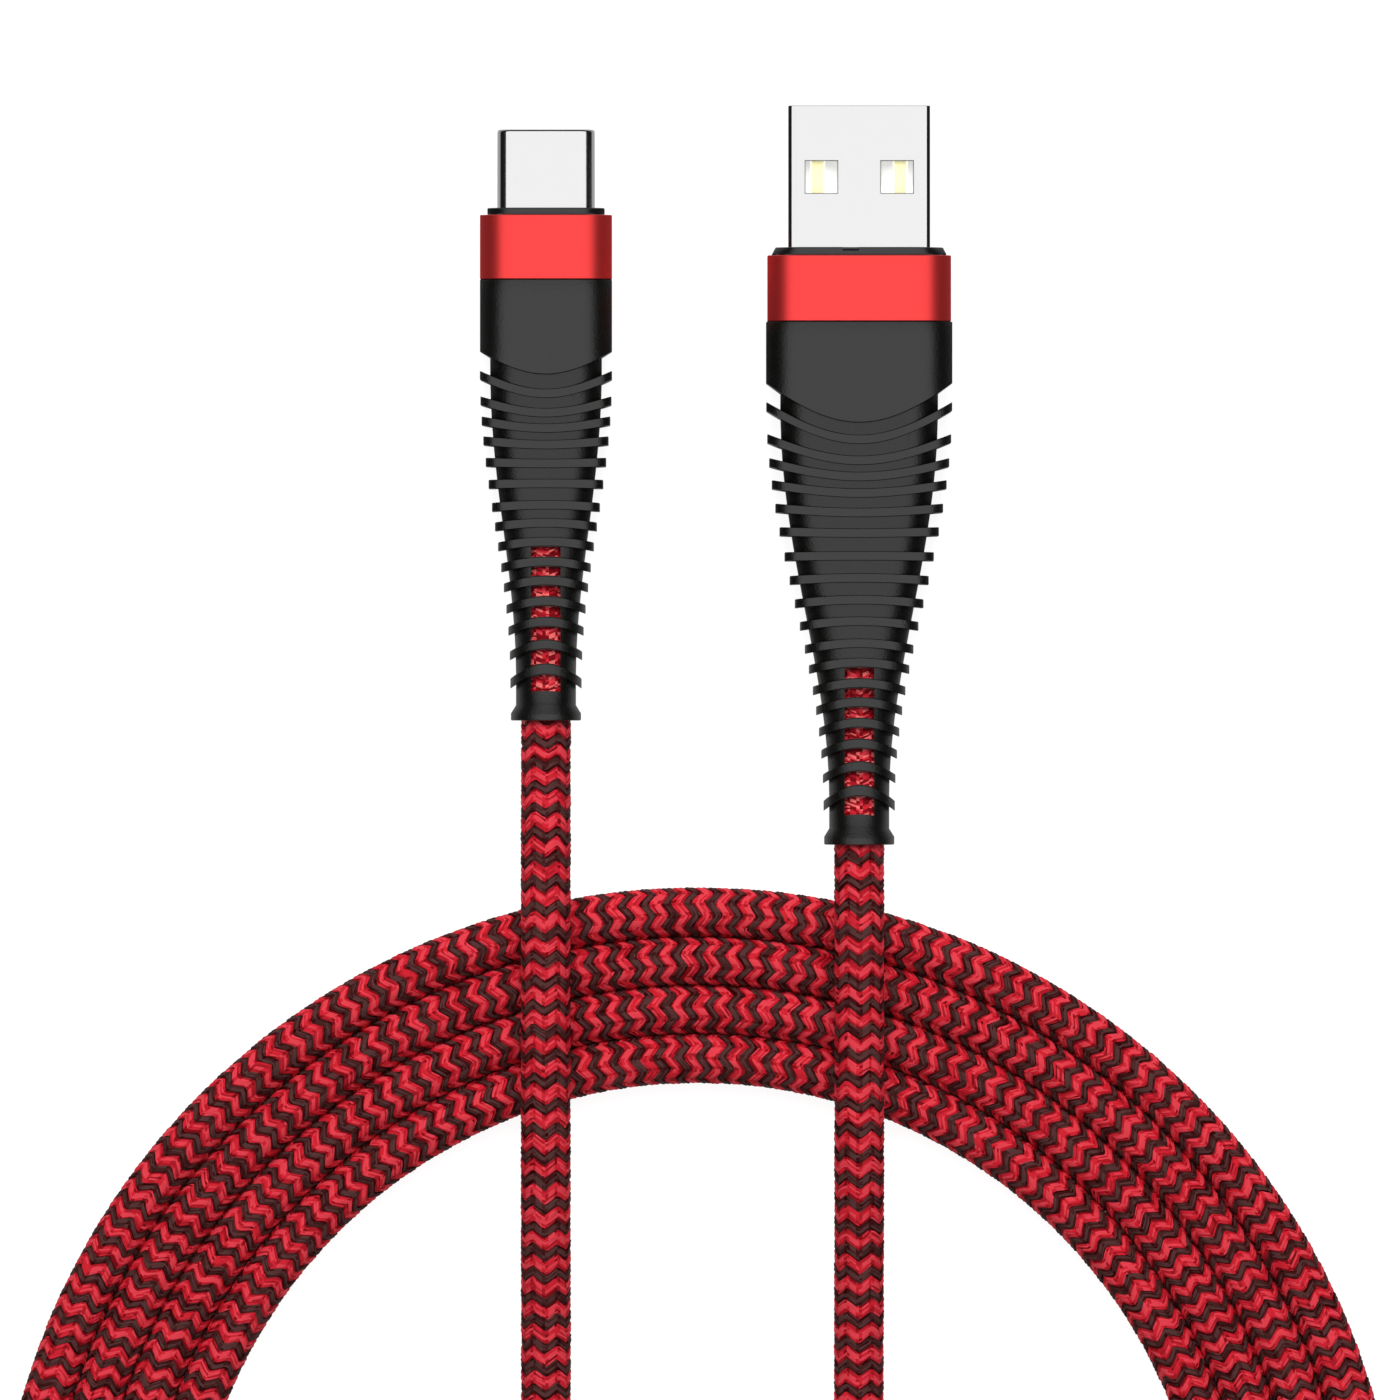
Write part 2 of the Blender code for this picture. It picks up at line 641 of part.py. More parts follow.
# ---- the USB-C plug's own pieces --------------------------------------------------------------------------
def add_usb_c(materials):
    plug = USB_C
    front = plug.collar_y
    tip = front + C_SHELL_OUT
    add_nose_housing(plug, materials["black_plastic"])
    add_trim_ring(plug, materials["red_metal"])
    add_boot(plug, materials["rubber"])

    half, wall = C_SHELL_HALF, C_SHELL_WALL
    narrow = tuple(side - 0.1 for side in half)
    inside = tuple(side - wall for side in half)
    outer = [
        ring_at(plug, tip, narrow, C_SHELL_CORNER - 0.05),
        ring_at(plug, tip - 0.25, half, C_SHELL_CORNER),
        ring_at(plug, front - C_SHELL_IN, half, C_SHELL_CORNER),
    ]
    inner = [ring_at(plug, y, inside, C_SHELL_CORNER - wall) for y in (tip, front - C_SHELL_IN)]
    sleeve("usb_c_shell", outer, inner, materials["steel"])

    ends = tuple(front + y for y in C_INSULATOR_Y)
    outer = [ring_at(plug, y, C_INSULATOR_HALF, 0.6) for y in ends]
    inner = [ring_at(plug, y, C_SLOT_HALF, 0.3) for y in ends]
    sleeve("usb_c_insulator", outer, inner, materials["black_plastic"])

    for row, pins, side in (("upper", C_UPPER_ROW, 1), ("lower", C_LOWER_ROW, -1)):
        for name, pin in pins.items():
            middle = plug.x + side * C_PITCH * (pin - 6.5)
            x = (middle - C_CONTACT_HALF_X, middle + C_CONTACT_HALF_X)
            y = (front + C_CONTACT_Y[1], front + C_CONTACT_Y[0])
            z = sorted(plug.z + side * level for level in C_CONTACT_Z)
            box(f"usb_c_contact_{row}_{name}", x, y, z, materials["gold"])
        plate_z = sorted(plug.z + side * level for level in (0.8, 0.88))
        finger = 0.5
        outline = [(plug.x - 2.5, front + 1.2), (plug.x + 2.5, front + 1.2)]
        for i in range(3):
            right = plug.x + 2.5 - 2.1 * i
            outline += [(right, front + 5.4), (right - 2 * finger + 0.2, front + 5.4)]
            if i < 2:
                outline += [(right - 2 * finger + 0.2, front + 2.4), (right - 2.1, front + 2.4)]
        outline[-1] = (plug.x - 2.5, front + 5.4)
        prism(f"usb_c_ground_spring_{row}", outline, *plate_z, "z", materials["steel"])

    arm_in, arm_out = 3.12, 3.38
    yoke = (
        (plug.x - arm_out, front - 3.2),
        (plug.x + arm_out, front - 3.2),
        (plug.x + arm_out, front + 5.0),
        (plug.x + arm_in - 0.12, front + 4.7),
        (plug.x + arm_in, front + 3.9),
        (plug.x + arm_in, front - 1.4),
        (plug.x - arm_in, front - 1.4),
        (plug.x - arm_in, front + 3.9),
        (plug.x - arm_in + 0.12, front + 4.7),
        (plug.x - arm_out, front + 5.0),
    )
    prism("usb_c_latch_plate", yoke, plug.z - 0.12, plug.z + 0.12, "z", materials["steel"])

    board_x = (plug.x - C_BOARD_HALF_X, plug.x + C_BOARD_HALF_X)
    board_y = (front + C_BOARD_Y[1], front + C_BOARD_Y[0])
    board_z = (plug.z - C_BOARD_HALF_Z, plug.z + C_BOARD_HALF_Z)
    box("usb_c_board", board_x, board_y, board_z, materials["board"])
    chip_x, chip_y = (plug.x - 0.5, plug.x + 0.5), (front - 6.75, front - 6.25)
    box("usb_c_resistor", chip_x, chip_y, (board_z[1] + 0.03, board_z[1] + 0.38), materials["chip"])

    wire_z = board_z[1] + 0.03 + WIRE_RADIUS
    starts = [(plug.x + x, front - 7.6, wire_z) for x in (-2.4, -0.8, 0.8, 2.4)]
    add_cable_end(plug, starts, materials["wires"], materials["jacket"], materials["copper"])


# ---- the cord ---------------------------------------------------------------------------------------------
def add_coil(material):
    """The outer shape of the coil's four turns, as one turned ring."""
    middle = (COIL_INNER_RADIUS + COIL_OUTER_RADIUS) / 2
    half_width = (COIL_OUTER_RADIUS - COIL_INNER_RADIUS) / 2
    profile = rounded_section(half_width, COIL_HEIGHT / 2, COIL_CORNER, steps=2)
    rings = []
    for i in range(COIL_STEPS):
        angle = math.tau * i / COIL_STEPS
        rings.append([
            (
                COIL_CENTRE[0] + (middle + out) * math.cos(angle),
                COIL_CENTRE[1] + (middle + out) * math.sin(angle),
                COIL_HEIGHT / 2 + up,
            )
            for out, up in profile
        ])
    return add_mesh("cord_coil", [p for ring in rings for p in ring], skin(rings, closed=True), material)


def add_lead(name, plug, route, material):
    """The free cord between a plug and the coil. It starts inside the boot, where the windows show it."""
    steps = 4
    inside = []
    for i in range(steps + 1):
        y = plug.cord_start_y + (plug.end_y - plug.cord_start_y) * i / steps
        inside.append((plug.x, y, plug.z + rise_at(plug, y)))
    tube(name, spaced_route(inside + list(route), CORD_POINT_SPACING), CORD_RADIUS, 4, material)


def main():
    clear_scene()
    materials = {
        "rubber": finish_material("boot_rubber", (0.035, 0.037, 0.037), 0.55),
        "red_metal": finish_material("anodised_red", (0.8, 0.04, 0.03), 0.35, 0.8),
        "steel": finish_material("plated_steel", (0.75, 0.75, 0.76), 0.25, 1.0),
        "gold": finish_material("contact_gold", (0.85, 0.62, 0.22), 0.25, 1.0),
        "copper": finish_material("crimp_copper", (0.72, 0.42, 0.26), 0.35, 1.0),
        "black_plastic": finish_material("black_plastic", (0.015, 0.015, 0.016), 0.4),
        "white_plastic": finish_material("white_plastic", (0.82, 0.82, 0.8), 0.45),
        "jacket": finish_material("jacket_pvc", (0.04, 0.04, 0.04), 0.6),
        "board": finish_material("circuit_board", (0.02, 0.16, 0.06), 0.4),
        "chip": finish_material("chip_ceramic", (0.02, 0.02, 0.02), 0.3),
    }
    materials["wires"] = {
        "red": finish_material("wire_red", (0.6, 0.02, 0.02), 0.45),
        "white": finish_material("wire_white", (0.8, 0.8, 0.78), 0.45),
        "green": finish_material("wire_green", (0.02, 0.3, 0.08), 0.45),
        "black": finish_material("wire_black", (0.02, 0.02, 0.02), 0.45),
    }
    braid = finish_material("braid", (0.45, 0.02, 0.04), 0.8)
    add_usb_a(materials)
    add_usb_c(materials)
    add_coil(braid)
    add_lead("cord_lead_a", USB_A, LEAD_A_ROUTE, braid)
    add_lead("cord_lead_c", USB_C, LEAD_C_ROUTE, braid)


main()
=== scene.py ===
"""Looks of the braided charging cable: two plugs side by side on a pale surface, and their cord in a coil.

Lengths are in millimetres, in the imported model's frame, and become metres where the meshes are made.
"""

import math
from dataclasses import dataclass

import bmesh
import bpy
import numpy as np
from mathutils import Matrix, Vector


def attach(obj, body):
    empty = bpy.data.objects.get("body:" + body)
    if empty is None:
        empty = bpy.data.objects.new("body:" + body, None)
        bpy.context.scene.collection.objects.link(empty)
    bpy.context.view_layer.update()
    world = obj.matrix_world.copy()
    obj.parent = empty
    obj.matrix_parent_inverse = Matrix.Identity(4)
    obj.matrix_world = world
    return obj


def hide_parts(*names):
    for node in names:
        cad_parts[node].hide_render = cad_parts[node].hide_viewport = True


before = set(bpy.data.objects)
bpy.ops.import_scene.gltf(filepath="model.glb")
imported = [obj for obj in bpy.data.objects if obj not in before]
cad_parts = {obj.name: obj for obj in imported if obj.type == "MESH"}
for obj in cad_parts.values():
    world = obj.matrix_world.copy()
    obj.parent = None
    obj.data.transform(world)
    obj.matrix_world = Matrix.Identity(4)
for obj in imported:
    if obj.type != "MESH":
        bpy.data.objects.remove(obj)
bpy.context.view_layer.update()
MM = 0.001
SEED = 20

# ---- the view ---------------------------------------------------------------------------------------------
VIEW_CENTRE = (-1.356, -19.03)
VIEW_WIDTH = 118.64  # what the square frame takes in, at the height of VIEW_LEVEL
VIEW_LEVEL = 4.0
CAMERA_DISTANCE = 1500.0
SENSOR_WIDTH = 36.0

# ---- the surroundings, in metres --------------------------------------------------------------------------
# what reflections see around the object: height of the direction, brightness
WORLD_LEVELS = ((-1.0, 0.3), (-0.8, 0.6), (-0.4, 0.6), (-0.12, 0.02), (0.3, 0.012), (1.0, 0.06))
BACKGROUND_LEVEL = 0.85  # the background's brightness for the camera
FLOOR_REACH, FLOOR_GREY, FLOOR_GLOW = 12.0, 0.2, 0.92
LIGHT_AIM = (0, -0.02, 0)
LIGHTS = (  # name, place, size, radiance, what sees it
    ("overhead", (0, -0.02, 0.7), (1.3, 1.3), 1.5, "gloss"),
    ("key", (0, 0.48, 0.87), (0.7, 0.7), 6.3, "matt"),
    ("fill", (0, -0.02, 0.9), (3.0, 3.0), 0.35, "matt"),
)

# ---- the cord ---------------------------------------------------------------------------------------------
CORD_DIAMETER = 4.2
CORD_REST_Z = CORD_DIAMETER / 2 + 0.02
CORD_OVER_Z = 6.65
COIL_CENTRE = (-1.52, -94.61)
COIL_FIRST_RADIUS, COIL_PITCH = 45.18, 4.13
COIL_START, COIL_END = 285, 4 * 360 + 165
COIL_STEP = 10
COIL_STEP_OUT = (200, 140)  # where in each turn the cord moves out to the next one, and over how many degrees
IN_BOOT_STEPS = 4
COIL_ENTRY = (3.6, -136.5, CORD_REST_Z)
COIL_EXIT = (  # degrees, radius, height
    (174, 57.75, 2.5),
    (183, 57.6, 3.6),
    (192, 56.9, 5.1),
    (201, 55.5, 6.3),
)
LEAD_C_ROUTE = (
    (-14.41, -26.4, 4.6),
    (-14.41, -31.6, 5.75),
    (-14.41, -36.8, 6.52),
    (-14.41, -42.0, CORD_OVER_Z),
    (-14.41, -47.5, CORD_OVER_Z),
    (-14.41, -52.8, 6.6),
    (-14.41, -58.0, 6.15),
    (-14.41, -64.0, 4.95),
    (-14.41, -70.0, 3.6),
    (-14.41, -76.0, 2.6),
    (-14.41, -82.5, CORD_REST_Z),
    (-14.41, -90.0, CORD_REST_Z),
    (-14.41, -98.0, CORD_REST_Z),
    (-14.41, -106.0, CORD_REST_Z),
    (-14.2, -113.0, CORD_REST_Z),
    (-13.0, -119.6, CORD_REST_Z),
    (-10.6, -125.6, CORD_REST_Z),
    (-7.0, -130.6, CORD_REST_Z),
    (-2.2, -134.4, CORD_REST_Z),
)
LEAD_A_ROUTE = (
    (12.12, -34.6, 6.2),
    (12.12, -38.2, 6.55),
    (12.12, -42.6, CORD_OVER_Z),
    (12.12, -48.0, CORD_OVER_Z),
    (12.12, -53.2, 6.6),
    (12.12, -58.0, 6.15),
    (12.12, -64.0, 4.95),
    (12.12, -70.0, 3.6),
    (12.12, -76.0, 2.6),
    (12.12, -82.5, CORD_REST_Z),
    (12.12, -89.0, CORD_REST_Z),
    (12.12, -95.5, CORD_REST_Z),
    (11.7, -102.5, 2.2),
    (10.0, -110.0, 2.6),
    (6.8, -117.0, 3.7),
    (1.9, -123.2, 5.4),
    (-4.4, -128.4, 6.55),
    (-11.5, -131.9, CORD_OVER_Z),
    (-18.85, -133.5, CORD_OVER_Z),
    (-26.7, -133.3, CORD_OVER_Z),
    (-34.3, -131.0, CORD_OVER_Z),
    (-41.5, -127.0, CORD_OVER_Z),
    (-47.9, -121.4, CORD_OVER_Z),
)

# ---- the braid --------------------------------------------------------------------------------------------
BRAID_COLUMNS = 12
BRAID_LOW, BRAID_HIGH = 2.0, 2.14  # radius in the grooves and over the yarns
LEAD_PERIOD, COIL_PERIOD = 2.05, 1.84  # one red and one dark band
LEAD_ZIGZAG, COIL_ZIGZAG = 0.64, 0.68  # how far a band runs along the cord between its peak and its valley
PERIOD_BLEND = 30.0  # length over which a lead's bands become the coil's
RED_SHARE = 0.56
BRAID_TWIST = 30.0  # degrees over the whole cord
YARN_STATIONS = (  # across a yarn of two plies: place, height, and how much painted shade the face after it gets: most at the yarn's edges, where it dives into the grooves, none in its middle, which takes the pale colours as a painted highlight
    (0.0, 0.0, 2),
    (0.16, 0.85, 1),
    (0.3, 1.0, 0),
    (0.5, 0.72, 0),
    (0.7, 1.0, 1),
    (0.84, 0.85, 2),
)
COLUMN_STATIONS = ((0.0, 0.25, 1), (0.25, 0.95, 0), (0.75, 0.95, 1))  # the same along a yarn: painted shade at its ends, where it dives under the next
YARN_LIFT, PLY_LIFT = 0.03, 0.02  # how much one yarn or ply stands above or below the others, at most
YARN_SHIFT, PLY_SHIFT = 0.055, 0.028  # how far a yarn or a ply strays along the cord
SHADE_STEP, SHADE_SPREAD = 0.75, 0.75  # steps along the lists of yarn colours, from light to deep: for each level of painted shade, and at random for each row of each column
FLECK = 0.55  # the same, from one face to the next
STREAK_SHADE, STREAK_SPREAD = 1.7, 2.4  # the same in the boots' windows, where every face has its own
GLINT_BELOW = -0.3  # faces in the boots' windows that are lighter than this take the glint colour, a painted glint
BOOT_ZIGZAG = 0.35  # inside the boots, which squeeze the braid
LINE_STEPS = 32  # parts of the cord's curve between two of its given points
LINE_SPACING = 0.25  # between the points of its even centreline
PHASE_STEP = 0.5  # how finely the bands are counted along it
STRAIGHT = 1e-18  # a smaller change of direction, squared, counts as none


@dataclass
class Plug:
    """One plug's dimensions, as in the CAD. Every y runs from the tip end (large) to the cord end (small)."""

    key: str
    x: float
    z: float
    collar_y: float
    ring_y: float
    boot_y: float
    shoulder_y: float
    neck_y: float
    rib_ys: tuple  # middle of each rib, at its sides
    flare_y: float
    end_y: float
    body_half: tuple
    ring_half: tuple
    collar_half: tuple
    collar_flare: float
    housing_half: tuple
    housing_end_y: float
    housing_bore: tuple
    housing_bore_corner: float
    neck_half: tuple
    rib_half_x: float
    shoulder_sag: float
    first_sag: float
    sag_decay: float
    sag_rise: float
    cavity_half: tuple
    cavity_end_y: float
    lift: float
    cord_start_y: float
    corner: float  # width of the soft corners of the boot and the ring
    neck_corner: float


USB_A = Plug(
    key="usb_a",
    x=12.12,
    z=3.9,
    collar_y=19.28,
    ring_y=18.6,
    boot_y=12.92,
    shoulder_y=7.75,
    neck_y=7.0,
    rib_ys=(
        *(5.8, 3.09, 1.06, -0.81, -2.8, -4.79, -6.91, -8.92, -10.89),
        *(-12.8, -14.75, -16.46, -18.27, -19.96, -21.78, -23.65, -25.72, -28.0),
    ),
    flare_y=-29.9,
    end_y=-31.27,
    body_half=(7.88, 3.9),
    ring_half=(7.77, 3.8),
    collar_half=(7.11, 3.2),
    collar_flare=0.28,
    housing_half=(7.05, 3.15),
    housing_end_y=8.4,
    housing_bore=(6.2, 2.42),
    housing_bore_corner=0.9,
    neck_half=(6.67, 3.62),
    rib_half_x=7.86,
    shoulder_sag=3.3,
    first_sag=2.8,
    sag_decay=0.155,
    sag_rise=1.0,
    cavity_half=(4.3, 2.3),
    cavity_end_y=3.2,
    lift=1.9,
    cord_start_y=-2.0,
    corner=2.6,
    neck_corner=2.45,
)
USB_C = Plug(
    key="usb_c",
    x=-14.41,
    z=2.95,
    collar_y=22.67,
    ring_y=22.07,
    boot_y=16.52,
    shoulder_y=10.46,
    neck_y=10.04,
    rib_ys=(
        *(8.47, 6.31, 4.61, 2.92, 1.1, -0.77, -2.72, -4.37),
        *(-6.06, -7.84, -9.54, -11.36, -13.22, -15.3, -17.65),
    ),
    flare_y=-19.46,
    end_y=-20.77,
    body_half=(5.59, 2.95),
    ring_half=(5.59, 2.9),
    collar_half=(4.97, 2.25),
    collar_flare=0.0,
    housing_half=(4.93, 2.22),
    housing_end_y=11.3,
    housing_bore=(4.25, 1.45),
    housing_bore_corner=1.2,
    neck_half=(4.73, 2.7),
    rib_half_x=5.59,
    shoulder_sag=1.9,
    first_sag=1.55,
    sag_decay=0.2,
    sag_rise=0.93,
    cavity_half=(2.9, 1.98),
    cavity_end_y=7.4,
    lift=0.9,
    cord_start_y=2.1,
    corner=2.6,
    neck_corner=2.3,
)
SOFT_EDGE = 0.2  # radius of the small edge at a soft corner's foot
BOOT_EDGE = ((0.06, 0.06), (0.04, 0.02), (0.0, 0.0))  # its front edge: ahead of boot_y, in from the side
BODY_SAG_STATIONS = (0.3, 0.6, 0.85)  # shares of the body's length
SHOULDER_CHAMFER = (0.04, 0.05)  # along, and in from the side
SHOULDER_FACE = 0.03  # how far along the shoulder's face goes on its way down to the neck
NECK_END_HALF = 2.54
RIB_END_HALF_X = 3.02
NECK_TAPER, RIB_TAPER = 1.08, 0.98  # above 1, the boot stays wide for longer
RIB_PROUD = 0.14
RIB_HALF, LAST_RIB_HALF = 0.39, 0.44
LAST_RISE, LAST_RISE_POWER = 0.33, 12  # how much more the last rib rises at its middle, and how suddenly
RIB_EDGE, RIB_FACE = 0.05, 0.01  # radius of its edges, and how far along its faces go on their way up
RIB_SHOULDER = 0.3  # how far in from the neck's side a rib starts to bend down
SMILE_BLUNTNESS, FROWN_BLUNTNESS = 1.0, 2.0  # how round the ribs' curves are at their middle
ROUND_SOONER = 1.6  # how much sooner than the neck narrows its corners grow round
END_COLLAR_HALF = 2.97
END_COLLAR_FLARE = 0.7  # length over which the neck widens to the end collar
END_COLLAR_EDGE = ((0.1, 0.0), (0.03, 0.03), (0.0, 0.1))  # along from the boot's end, in from the side
BOOT_ACROSS = 28  # parts across each flat side
ROOM_CORNER, ROOM_OVERLAP = 1.4, 0.2  # radius in the hollows, and how far they run into each other
BORE_RINGS, BORE_SIDES = 15, 40
CORD_BORE_RADIUS = CORD_DIAMETER / 2 + 0.1
WINDOW_HALF_X = 1.25
WINDOW_MARGIN = 0.04
WINDOW_RIBS = 7
WINDOW_STEPS = 6  # parts of a window's curved edges
LAST_WINDOW_PAST_FLARE, LAST_WINDOW_SAG = 0.65, -0.55
PAST = 1.0  # how far a cutter reaches past what it cuts
SLEEVE_GAP = 0.1

RING_EDGE = 0.05
COLLAR_EDGE = (0.06, 0.08)  # along, and in from the side
COLLAR_SOFT_EDGE, COLLAR_CORNER_LESS = 0.15, 0.3  # its corner is this much smaller than the boot's
COLLAR_FLARE_TOP = 0.3  # how much of the collar's flare its flat sides have
COLLAR_STEP = 0.001  # length over which the collar steps down to the housing
HOUSING_CORNER = 1.3
LIP_STEPS, LIP_REST = 4, 0.01  # LIP_REST is the least of the wall that stays between its two rounded edges
SHARP = 40
CORNER_STEPS = 11
ROUND_TURN = 65  # degrees of a round section's quarter that its corner covers
BODY_TILT, NECK_TILT, SHELL_TILT = 50, 50, 42  # degrees that a soft corner's slope reaches

A_SHELL_HALF, A_SHELL_CORNER, A_SHELL_WALL = (6.0, 2.25), 0.3, 0.3
A_SHELL_OUT, A_SHELL_IN, A_SHELL_LIP = 12.0, 6.5, 0.05
A_SHELL_EDGE, A_SHELL_BEND, A_SHELL_INNER_CORNER = 0.1, 0.1, 0.1
A_WINDOW_X, A_WINDOW_HALF, A_WINDOW_FROM_TIP, A_WINDOW_EDGE = 3.2, 1.35, 6.05, 0.07
A_NOTCH_X, A_NOTCH_DEPTH, A_NOTCH_FLOOR = (-1.39, -0.03), 0.31, 0.33  # its floor's height over the bore
A_NOTCH_SLOPE, A_NOTCH_FOOT, A_NOTCH_TOP = 0.3, 0.15, 5.0
C_SHELL_HALF, C_SHELL_CORNER, C_SHELL_WALL = (4.125, 1.2), 1.14, 0.27
C_SHELL_OUT, C_SHELL_IN, C_SHELL_LIP = 6.65, 4.5, 0.22
SHELL_INNER_EDGE = 0.06


# ---- the inner pieces' materials --------------------------------------------------------------------------
WIRE_SURFACE = (4000, 0.05, 0.02, (0.4, 0.5))
INNER_FINISHES = {  # colour, roughness, metallic, what add_surface takes, other sockets
    "contact_gold": ((0.92, 0.86, 0.5), 0.3, 1.0, (5000, 0.03, 0.01, (0.25, 0.35)), {}),
    # white_plastic glows a little: painted light that keeps it bright where it lies in shade inside the shell
    "white_plastic": (
        (0.92, 0.92, 0.9),
        0.45,
        0.0,
        (3000, 0.05, 0.02, (0.4, 0.5)),
        {"Emission_Color": (1, 1, 0.98, 1), "Emission_Strength": 0.45},
    ),
    "crimp_copper": ((0.7, 0.38, 0.22), 0.3, 1.0, (4000, 0.05, 0.02, (0.25, 0.4)), {}),
    "jacket_pvc": ((0.03, 0.03, 0.03), 0.55, 0.0, (4000, 0.06, 0.02, (0.5, 0.65)), {}),
    "circuit_board": ((0.02, 0.14, 0.05), 0.4, 0.0, (4000, 0.06, 0.02, (0.35, 0.5)), {}),
    "chip_ceramic": ((0.02, 0.02, 0.02), 0.3, 0.0, (4000, 0.06, 0.02, (0.25, 0.4)), {}),
    "wire_red": ((0.55, 0.02, 0.02), 0.45, 0.0, WIRE_SURFACE, {}),
    "wire_white": ((0.75, 0.75, 0.72), 0.45, 0.0, WIRE_SURFACE, {}),
    "wire_green": ((0.02, 0.28, 0.07), 0.45, 0.0, WIRE_SURFACE, {}),
    "wire_black": ((0.02, 0.02, 0.02), 0.45, 0.0, WIRE_SURFACE, {}),
}


# ---- the camera -------------------------------------------------------------------------------------------
def add_camera():
    camera = bpy.data.cameras.new("camera")
    camera.sensor_width = SENSOR_WIDTH
    camera.lens = SENSOR_WIDTH * CAMERA_DISTANCE / VIEW_WIDTH
    camera.clip_start, camera.clip_end = 0.05, 20.0
    holder = bpy.data.objects.new("camera", camera)
    holder.location = Vector((*VIEW_CENTRE, VIEW_LEVEL + CAMERA_DISTANCE)) * MM
    bpy.context.scene.collection.objects.link(holder)
    bpy.context.scene.camera = holder


# ---- materials --------------------------------------------------------------------------------------------
def principled(name, colour, roughness, metallic=0.0, **more):
    """A Principled material with the same colour all over. more sets other sockets, with _ for spaces."""
    made = bpy.data.materials.new(name)
    made.use_nodes = True
    shader = made.node_tree.nodes["Principled BSDF"]
    shader.inputs["Base Color"].default_value = (*colour, 1.0)
    shader.inputs["Roughness"].default_value = roughness
    shader.inputs["Metallic"].default_value = metallic
    for socket, value in more.items():
        shader.inputs[socket.replace("_", " ")].default_value = value
    made.diffuse_color = (*colour, 1.0)
    return made


def add_surface(material, scale, bump, distance, roughness, coordinates="Object", stretch=(1, 1, 1)):
    """Noise that drives a bump, of this distance in millimetres, and the roughness, as (least, most)."""
    tree = material.node_tree
    shader = tree.nodes["Principled BSDF"]
    place = tree.nodes.new("ShaderNodeTexCoord")
    mapping = tree.nodes.new("ShaderNodeMapping")
    mapping.inputs["Scale"].default_value = stretch
    tree.links.new(place.outputs[coordinates], mapping.inputs["Vector"])
    noise = tree.nodes.new("ShaderNodeTexNoise")
    noise.inputs["Scale"].default_value = scale
    noise.inputs["Detail"].default_value = 4
    tree.links.new(mapping.outputs["Vector"], noise.inputs["Vector"])
    lift = tree.nodes.new("ShaderNodeBump")
    lift.inputs["Strength"].default_value = bump
    lift.inputs["Distance"].default_value = distance * MM
    tree.links.new(noise.outputs["Fac"], lift.inputs["Height"])
    tree.links.new(lift.outputs["Normal"], shader.inputs["Normal"])
    spread = tree.nodes.new("ShaderNodeMapRange")
    spread.inputs["To Min"].default_value, spread.inputs["To Max"].default_value = roughness
    tree.links.new(noise.outputs["Fac"], spread.inputs["Value"])
    tree.links.new(spread.outputs["Result"], shader.inputs["Roughness"])
    return material


# ---- meshes -----------------------------------------------------------------------------------------------
def add_mesh(name, points, faces, materials):
    """An object from points in millimetres, with its faces turned outward."""
    mesh = bpy.data.meshes.new(name)
    mesh.from_pydata([Vector(p) * MM for p in points], [], faces)
    shape = bmesh.new()
    shape.from_mesh(mesh)
    bmesh.ops.recalc_face_normals(shape, faces=shape.faces)
    shape.to_mesh(mesh)
    shape.free()
    for material in materials:
        mesh.materials.append(material)
    made = bpy.data.objects.new(name, mesh)
    bpy.context.scene.collection.objects.link(made)
    smooth(made)
    return made


def smooth(thing):
    """Smooth shading, apart from the edges sharper than SHARP."""
    mesh = thing.data
    mesh.polygons.foreach_set("use_smooth", [True] * len(mesh.polygons))
    mesh.set_sharp_from_angle(angle=math.radians(SHARP))


def round_corner(width, height, turn=90, steps=CORNER_STEPS):
    """An arc of an ellipse, of that many degrees, from the side towards the top.

    Its points are distances in from the side and down from the top.
    """
    turns = [math.radians(turn) * step / steps for step in range(steps + 1)]
    return [(width * (1 - math.cos(turn)), height * (1 - math.sin(turn))) for turn in turns]


def soft_corner(width, tilt, edge, bend=0.9, steps=CORNER_STEPS):
    """Like round_corner, but the top bends down to the tilt, in degrees, and runs on to a small rounded edge.

    It bends over the bend's share of the width.
    """
    tilt, bends, rounds = math.radians(tilt), steps // 2, steps - steps // 2 - 1
    sloped = width - edge * (1 - math.sin(tilt))
    bend = bend * sloped
    x, drop = width, 0.0
    found = [(x, drop)]
    for i in range(bends):
        x -= bend / bends
        drop += bend / bends * math.tan(tilt * (i + 0.5) / bends)
        found.append((x, drop))
    x -= sloped - bend
    drop += (sloped - bend) * math.tan(tilt)
    found.append((x, drop))
    for i in range(1, rounds + 1):
        turn = tilt + (math.pi / 2 - tilt) * i / rounds
        inward, down = math.sin(turn) - math.sin(tilt), math.cos(tilt) - math.cos(turn)
        found.append((x - edge * inward, drop + edge * down))
    return found[::-1]


def full_corner(half):
    """The corner that makes a section of those half sizes an ellipse."""
    return round_corner(half[0], half[1] - 0.04, ROUND_TURN)


def mixed_corner(first, second, share):
    """The way from the first corner to the second."""
    return [tuple(a + (b - a) * share for a, b in zip(p, q)) for p, q in zip(first, second)]


def section(half_x, half_z, corner, across=1):
    """A shape in the XZ plane with that corner, its top and bottom crowned and divided into across parts."""
    quarter = [(half_x - inset, half_z - drop) for inset, drop in corner]
    flat, crown = quarter[-1][0], corner[-1][1]
    shares = [1 - 2 * i / across for i in range(1, across)]
    run = [(flat * share, half_z - crown * share**2) for share in shares]
    top = quarter + run + [(-x, z) for x, z in quarter[::-1]]
    return top + [(-x, -z) for x, z in top]


def skin(rows, count, closed):
    """Quads between one ring of count points and the next, and from the last back to the first if closed."""
    pairs = rows if closed else rows - 1
    faces = []
    for row in range(pairs):
        start, after = row * count, (row + 1) % rows * count
        for i in range(count):
            j = (i + 1) % count
            faces.append((start + i, start + j, after + j, after + i))
    return faces


